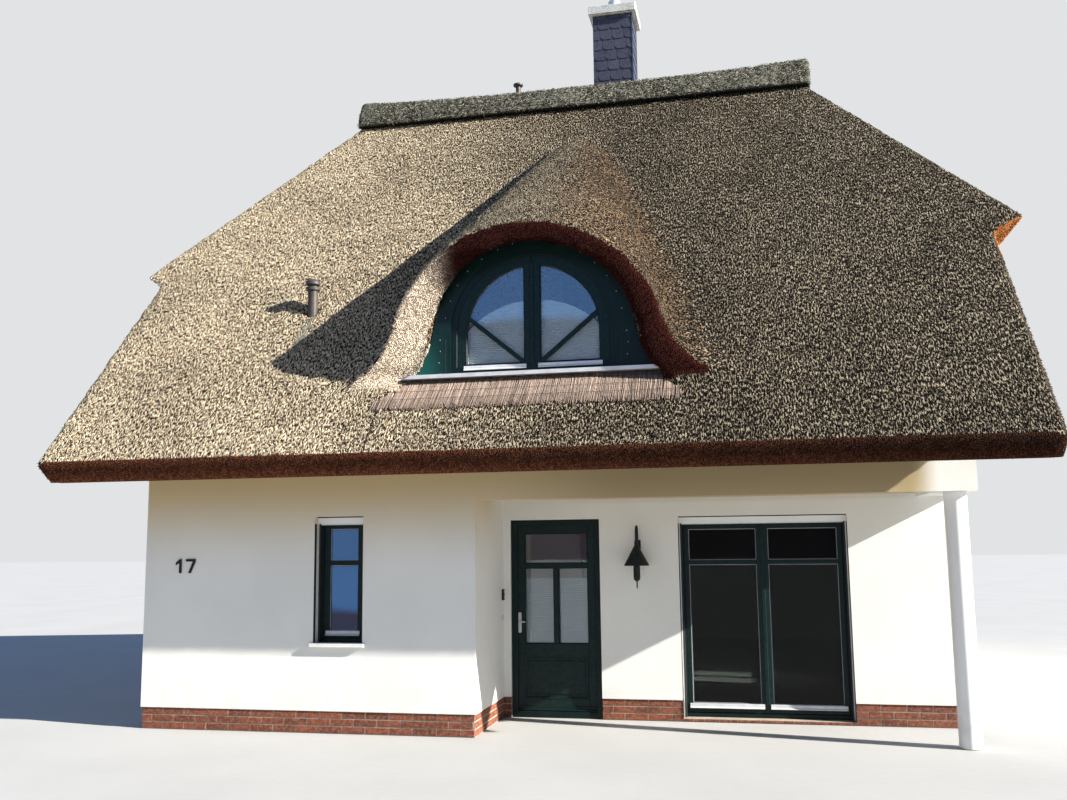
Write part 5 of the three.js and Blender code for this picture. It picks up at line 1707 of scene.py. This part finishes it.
class COTTAGE_OT_ridge(bpy.types.Operator):
    """Make the rough ridge roll with its twigs"""
    bl_idname = "cottage.ridge"
    bl_label = "Ridge"

    def execute(self, context):
        t = settings().thatch
        mesh = even_mesh(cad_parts["ridge_cap"].data.copy(), t.ridge_grid)
        points, edges = read_mesh(mesh)
        points = relax(points, edges, 3)
        move_points(mesh, points)
        normals = vertex_normals(mesh)
        random = np.random.default_rng(23)
        depth = waves(points, 2.2, 3) * 0.026 + waves(points, 11.0, 4) * 0.012
        depth += (random.random(len(points)) - 0.5) * 0.012
        depth = np.where(normals[:, 2] > -0.3, depth, 0)
        move_points(mesh, points + normals * depth[:, None])
        settle("ridge_roll", mesh, [ridge_finish()], nodes=["ridge_cap"], crease=0)
        mesh.shade_smooth()
        keep = np.flatnonzero(normals[:, 2] > -0.2)
        pick = random.choice(keep, t.twigs)
        at = points[pick] + (random.random((len(pick), 3)) - 0.5) * 0.03
        facing = normals[pick]
        heading = random.normal(size=(len(pick), 3)) * (1.0, 0.8, 0.5)
        heading = unit(heading - facing * (heading * facing).sum(1)[:, None])
        made, faces = needles(at, facing, heading, (0.075, 0.008), random, 0.22)
        twigs = make_mesh("ridge_twigs", made, [orient(made, faces)])
        finish = straw_finish("twig", shaded(t.ridge, 1.7), shaded(t.ridge, 0.3))
        settle("ridge_twigs", twigs, [finish], crease=0)
        return {"FINISHED"}


class COTTAGE_OT_apron(bpy.types.Operator):
    """Lay the pale reed below the dormer's sill and its wires"""
    bl_idname = "cottage.apron"
    bl_label = "Apron"

    def execute(self, context):
        t = settings().thatch
        random = np.random.default_rng(29)
        top, foot = Vector((0, *APRON["top"])), Vector((0, *APRON["foot"]))
        down = (foot - top).normalized()
        reach = (foot - top).length
        normal = Vector((1, 0, 0)).cross(down)
        normal *= math.copysign(1, normal.z)
        left, right = APRON["left"], APRON["right"]
        maker = Maker()
        for _ in range(t.apron_reeds):
            x = left + (right - left) * random.random()
            layer, start = random.random(), 0.03 * random.random()
            end = reach * (0.90 + 0.22 * random.random())
            lean = (random.random() - 0.5) * 0.05
            outer = max(0.0, abs(x - ARCH["x"]) - 1.25)
            if outer and random.random() < 2.2 * outer:
                continue
            height = 0.002 + 0.016 * layer
            a = Vector((x, 0, 0)) + top + down * start + normal * height
            b = Vector((x + lean, 0, 0)) + top + down * end + normal * (height - 0.012)
            maker.tube([a, b], [0.0042, 0.003], 4)
        for level in (0.2, 0.5, 0.8):
            line = []
            for i in range(40):
                x = left + 0.02 + (right - left - 0.04) * i / 39
                p = Vector((x, 0, 0)) + top + down * reach * level
                line.append(p + normal * (0.024 + 0.0015 * (i % 2)))
            maker.tube(line, 0.0018, 5, 1)
        pale = straw_finish("apron_reed", tuple(t.apron), shaded(t.apron, 0.5))
        maker.build("apron_reed", [pale, stock("gasket")], "thatch", crease=0)
        return {"FINISHED"}


# Chimney, vents, fittings; the lowest row of slates starts within the roof

SLATES_FOOT = 7.55


class COTTAGE_OT_chimney(bpy.types.Operator):
    """Clad the chimney with slates and build its cap and flue"""
    bl_idname = "cottage.chimney"
    bl_label = "Chimney"

    def execute(self, context):
        c = settings().chimney
        low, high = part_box("chimney_stack")
        core = Maker()
        inset = 0.02
        core.block((low.x + inset, low.y + inset, low.z),
                   (high.x - inset, high.y - inset, high.z), 0.002)
        slate = coated("slate", c.slate, 0.55, 0.2, 7, 0.0006, 0.2, (0.12, 0.12, 0.15),
                       spread=0.5)
        core.build("chimney_core", [stock("gasket")], "slate", nodes=["chimney_stack"])
        random = np.random.default_rng(31)
        slates = Maker()
        sides = [((low.x, low.y), 0), ((high.x, low.y), 90), ((high.x, high.y), 180),
                 ((low.x, high.y), 270)]
        for (x, y), turn in sides:
            width = (high.x - low.x) if turn % 180 == 0 else (high.y - low.y)
            place = Matrix.Translation((x, y, 0)) @ Matrix.Rotation(math.radians(turn), 4, "Z")
            row = 0
            z = SLATES_FOOT
            while z < high.z - 0.01:
                at = -((row * 0.2) % 1) * c.slate_width
                while at < width - 0.01:
                    self.slate(slates, place, at, z, width, high.z, c, random)
                    at += c.slate_width
                z += c.slate_rise
                row += 1
        slates.build("chimney_slates", [slate], "slate")
        self.top(c)
        return {"FINISHED"}

    def slate(self, maker, place, at, z, width, top, c, random):
        """One slate with a rounded lower corner, tilted over the row below."""
        w, rise = c.slate_width - 0.004, c.slate_rise
        radius = w * 0.4
        head = min(z + rise * 1.3, top)
        outline = [(at + w, z), (at + w, head), (at, head), (at, z + radius)]
        for i in range(1, 7):
            a = math.pi + (math.pi / 2) * i / 6
            outline.append((at + radius + radius * math.cos(a), z + radius + radius * math.sin(a)))
        outline = [(min(max(x, 0.0), width), zz) for x, zz in outline]
        xs = [p[0] for p in outline]
        if max(xs) - min(xs) < 0.02:
            return
        tilt = 0.006 + 0.002 * random.random()
        points = []
        for depth in (0.0, 0.005):
            for x, zz in outline:
                out = 0.010 * (zz - z) / (rise * 1.3) + tilt * 0.3
                points.append(place @ Vector((x, min(out + depth, 0.0195), zz)))
        maker.add(points, prism_faces(len(outline)))

    def top(self, c):
        """Metal cap and round flue."""
        low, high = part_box("chimney_cap")
        maker = Maker()
        head = high.z + 0.04
        maker.block((low.x, low.y, low.z + 0.012), (high.x, high.y, head), 0.006)
        maker.block((low.x + 0.03, low.y + 0.03, low.z), (high.x - 0.03, high.y - 0.03,
                                                          low.z + 0.014), 0.002)
        flow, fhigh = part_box("chimney_flue")
        centre = (flow + fhigh) / 2
        radius = (fhigh.x - flow.x) / 2
        maker.lathe([(0, head - 0.002), (radius + 0.06, head - 0.002), (radius + 0.05, head + 0.012),
                     (radius, head + 0.03), (0, head + 0.03)], (centre.x, centre.y, 0), 48)
        cap = coated("cap_metal", c.metal, 0.5, 0.15, 5, 0.0006, 0.4, metal=0.35)
        maker.build("chimney_top", [cap], "zinc", nodes=["chimney_cap"])
        flue = Maker()
        inner = radius - 0.006
        top = fhigh.z
        flue.lathe([(0, flow.z + 0.02), (inner, flow.z + 0.02), (inner, top - 0.002),
                    (radius - 0.003, top), (radius, top - 0.003), (radius, top - 0.03),
                    (radius - 0.004, top - 0.034), (radius - 0.004, flow.z + 0.03),
                    (radius, flow.z), (0, flow.z)][::-1], (centre.x, centre.y, 0), 48)
        flue.build("chimney_pipe", [stock("steel")], "steel", nodes=["chimney_flue"])


class COTTAGE_OT_vents(bpy.types.Operator):
    """Build the lower vent pipe with its domed hood and the ridge's with a flat one"""
    bl_idname = "cottage.vents"
    bl_label = "Vents"

    def execute(self, context):
        low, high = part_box("slope_vent")
        wide = (high.x - low.x) / 2
        pipe, rise = 0.058, 0.062
        dome = [(wide * math.cos(a), -rise + rise * math.sin(a))
                for a in (math.pi / 2 * i / 8 for i in range(9))]
        hood = [(pipe, -0.150), (pipe + 0.004, -0.146), (wide - 0.004, -0.142),
                (wide - 0.002, -0.108), (0.052, -0.104), (0.052, -0.084), (wide - 0.006, -0.080),
                (wide, -0.072)]
        self.pipe("slope_vent", hood + dome)
        low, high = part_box("ridge_vent")
        wide = (high.x - low.x) / 2
        pipe = 0.038
        self.pipe("ridge_vent", [(pipe, -0.056), (pipe + 0.004, -0.052), (wide - 0.006, -0.048),
                                 (wide, -0.042), (wide, -0.018), (wide * 0.75, -0.008), (0, 0)])
        return {"FINISHED"}

    def pipe(self, node, head):
        """Pipe with its head, given as radius and height from the top."""
        low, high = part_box(node)
        centre = (low + high) / 2
        foot = low.z - high.z
        maker = Maker()
        maker.lathe([(0, foot), (head[0][0], foot), *head], (centre.x, centre.y, high.z), 40)
        maker.build(node + "_pipe", [stock("pipe_metal")], "black_metal", nodes=[node])


class COTTAGE_OT_fittings(bpy.types.Operator):
    """Build the wall lamp, doorbell and house number"""
    bl_idname = "cottage.fittings"
    bl_label = "Fittings"

    def execute(self, context):
        self.lamp()
        self.bell()
        self.number()
        return {"FINISHED"}

    def lamp(self):
        """Pointed shade that hangs from a bent arm."""
        low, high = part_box("wall_lamp")
        wall = high.y
        x = (low.x + high.x) / 2
        y = wall - 0.15
        stem, shade = 0.243, 0.263
        base = low.z + stem
        radius = (high.x - low.x) / 2
        apex, top = base + shade, high.z - 0.013
        maker = Maker()
        maker.lathe([(0, -stem), (0.005, -0.242), (0.0075, -0.228), (0.0075, -0.172),
                     (0.012, -0.165), (0.026, -0.158), (0.034, -0.145), (0.036, -0.13),
                     (0.036, -0.02), (0.031, 0.05), (radius - 0.006, 0.003), (radius, 0),
                     (radius, 0.004), (0.024, shade - 0.052), (0.020, shade - 0.045),
                     (0.020, shade - 0.008), (0.014, shade), (0, shade)], (x, y, base), 48)
        route = [(x, wall - 0.014, apex - 0.045), (x, wall - 0.030, apex - 0.02),
                 (x, wall - 0.040, top - 0.05), (x, wall - 0.065, top - 0.008),
                 (x, wall - 0.095, top), (x, wall - 0.130, top - 0.022),
                 (x, wall - 0.148, top - 0.07), (x, y, apex - 0.01)]
        maker.tube(curve(route, 5), 0.0125, 14)
        maker.block((x - 0.033, wall - 0.009, apex - 0.09), (x + 0.033, wall, apex + 0.01), 0.004)
        maker.build("porch_lamp", [stock("black_metal")], "black_metal", nodes=["wall_lamp"])

    def bell(self):
        """Doorbell with two round buttons."""
        low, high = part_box("doorbell")
        bell = Maker()
        bell.block(low, high, 0.006)
        bell.block((low.x, low.y + 0.008, 1.06), (low.x + 0.02, high.y - 0.012, 1.11), 0.004, 1)
        middle = (low.y + high.y) / 2
        for z, size in ((high.z - 0.03, 0.011), (low.z + 0.035, 0.014)):
            bell.lathe([(0, 0), (size, 0), (size, 0.0015), (size * 0.8, 0.003), (0, 0.003)],
                       (high.x - 0.0005, middle, z), 24, 1, "x")
        bell.build("porch_bell", stocks("black_metal", "rail_metal"), "black_metal",
                   nodes=["doorbell"])

    def number(self):
        """Two plain digits, 1 and 7, on short pins."""
        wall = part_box("front_left_wall")[0].y
        x, z, tall, stroke = 0.365 - CORNER_X, 1.62, 0.148, 0.026
        maker = Maker()
        one = [(0.04, 0), (0.04 + stroke, 0), (0.04 + stroke, tall), (0.044, tall), (0.0, tall - 0.037),
               (0.0, tall - 0.064), (0.04, tall - 0.036)]
        seven = [(0.03, 0), (0.059, 0), (0.112, tall - stroke), (0.112, tall), (0.0, tall),
                 (0.0, tall - stroke), (0.082, tall - stroke)]
        for shift, outline in ((0.0, one), (0.118, seven)):
            path = [(x + shift + px, z + pz) for px, pz in outline]
            maker.plate(path, wall - 0.014, wall - 0.004)
        for px, pz in ((0.053, 0.02), (0.053, 0.128), (0.167, 0.02), (0.17, 0.136)):
            maker.lathe([(0, 0), (0.003, 0), (0.003, 0.006), (0, 0.006)],
                        (x + px, wall - 0.0005, z + pz), 8, 0, "y")
        maker.build("house_number", [stock("black_metal")], "black_metal", crease=30)


def curve(points, steps):
    """Points along a smooth curve through the given ones."""
    points = [Vector(p) for p in points]
    made = []
    for i in range(len(points) - 1):
        p0, p1 = points[max(i - 1, 0)], points[i]
        p2, p3 = points[i + 1], points[min(i + 2, len(points) - 1)]
        for k in range(steps):
            t = k / steps
            made.append(0.5 * (2 * p1 + (p2 - p0) * t + (2 * p0 - 5 * p1 + 4 * p2 - p3) * t ** 2
                               + (3 * p1 - p0 - 3 * p2 + p3) * t ** 3))
    return made + [points[-1]]


# Stage; the sky's colours from the horizon up, as it lights, as glass mirrors it and as it shows

SKY = ((0.80, 0.84, 0.90), (0.36, 0.52, 0.86))
MIRRORED = ((0.42, 0.34, 0.44), (0.66, 1.42, 3.1), (0.29, 0.71, 1.65))
BACKDROP = (1.45, 1.48, 1.50)
SUNLIGHT = (1.0, 0.955, 0.88)
CAMERA = {"place": (2.325, -14.523, 1.935), "turn": 12.055, "raise": 7.654, "roll": -0.672,
          "lens": 34.98}


class COTTAGE_OT_stage(bpy.types.Operator):
    """Set up the floor, the soft light and the camera"""
    bl_idname = "cottage.stage"
    bl_label = "Stage"

    def execute(self, context):
        s = settings().stage
        size, level = 90.0, -0.004
        corners = [(x, y, level) for x, y in rectangle(-size, size, -size, size)]
        mesh = make_mesh("floor", np.array(corners), [np.array([[0, 1, 2, 3]])])
        floor = placed("floor", mesh)
        mesh.materials.append(coated("floor_finish", s.floor, 0.9, 0.03, 0.6, 0.001))
        world = bpy.data.worlds.new("soft_light")
        world.use_nodes = True
        tree = world.node_tree
        tree.nodes.clear()
        out = put(tree, "OutputWorld")
        shine = put(tree, "Background")
        shine.inputs["Strength"].default_value = s.sky_power
        tree.links.new(shine.outputs[0], out.inputs[0])
        toward = put(tree, "TexCoord").outputs["Generated"]
        height = axes(tree, toward)[2]
        sky = mix(tree, fade(tree, height, 0.0, 0.55), *SKY)
        path = put(tree, "LightPath").outputs
        hills = calc(tree, "SUBTRACT", height, times(tree, grains(tree, toward, 3.0, 3), 0.06))
        mirrored = mix(tree, fade(tree, hills, 0.175, 0.185), MIRRORED[0], MIRRORED[1])
        mirrored = mix(tree, fade(tree, height, 0.2, 0.6), mirrored, MIRRORED[2])
        sky = mix(tree, path["Is Glossy Ray"], sky, mirrored)
        tree.links.new(mix(tree, path["Is Camera Ray"], sky, BACKDROP), shine.inputs["Color"])
        context.scene.world = world

        light = bpy.data.lights.new("sun", "SUN")
        light.energy, light.angle = s.sun_power, s.sun_size
        light.color = SUNLIGHT
        sun = placed("sun", light)
        away = Vector((math.sin(s.sun_turn) * math.cos(s.sun_height),
                       -math.cos(s.sun_turn) * math.cos(s.sun_height), math.sin(s.sun_height)))
        sun.rotation_mode = "QUATERNION"
        sun.rotation_quaternion = away.to_track_quat("Z", "Y")
        self.camera(context)
        context.scene.view_settings.view_transform = "Standard"
        return {"FINISHED"}

    def camera(self, context):
        """Where the photograph was taken from: turned left, raised and slightly rolled."""
        yaw, pitch, roll = (math.radians(CAMERA[key]) for key in ("turn", "raise", "roll"))
        ahead = Vector((-math.sin(yaw) * math.cos(pitch), math.cos(yaw) * math.cos(pitch),
                        math.sin(pitch)))
        right = Vector((math.cos(yaw), math.sin(yaw), 0))
        up = right.cross(ahead)
        right, up = (right * math.cos(roll) + up * math.sin(roll),
                     up * math.cos(roll) - right * math.sin(roll))
        data = bpy.data.cameras.new("camera")
        data.sensor_width = 36
        data.lens = CAMERA["lens"]
        camera = placed("camera", data)
        turn = Matrix((right, up, -ahead)).transposed().to_4x4()
        camera.matrix_world = Matrix.Translation(CAMERA["place"]) @ turn
        context.scene.camera = camera


# Add-on

class COTTAGE_PT_panel(bpy.types.Panel):
    """Lists the cottage's pieces and settings"""
    bl_label = "Thatched Cottage"
    bl_idname = "COTTAGE_PT_panel"
    bl_space_type = "VIEW_3D"
    bl_region_type = "UI"
    bl_category = "Cottage"

    def draw(self, context):
        layout = self.layout
        for operator in OPERATORS:
            layout.operator(operator.bl_idname)
        for part in CottageSettings.__annotations__:
            box = layout.box()
            box.label(text=part.capitalize())
            held = getattr(context.scene.cottage, part)
            for name in type(held).__annotations__:
                box.prop(held, name)


OPERATORS = (
    COTTAGE_OT_stage,
    COTTAGE_OT_walls,
    COTTAGE_OT_plinth,
    COTTAGE_OT_column,
    COTTAGE_OT_windows,
    COTTAGE_OT_door,
    COTTAGE_OT_dormer,
    COTTAGE_OT_thatch,
    COTTAGE_OT_ridge,
    COTTAGE_OT_apron,
    COTTAGE_OT_chimney,
    COTTAGE_OT_vents,
    COTTAGE_OT_fittings,
)
CLASSES = (ThatchSettings, WallSettings, JoinerySettings, ChimneySettings, StageSettings,
           CottageSettings, *OPERATORS, COTTAGE_PT_panel)


def register():
    for cls in CLASSES:
        bpy.utils.register_class(cls)
    bpy.types.Scene.cottage = PointerProperty(type=CottageSettings)


def unregister():
    del bpy.types.Scene.cottage
    for cls in reversed(CLASSES):
        bpy.utils.unregister_class(cls)


def main():
    register()
    for operator in OPERATORS:
        family, name = operator.bl_idname.split(".")
        getattr(getattr(bpy.ops, family), name)()


if __name__ == "__main__":
    main()
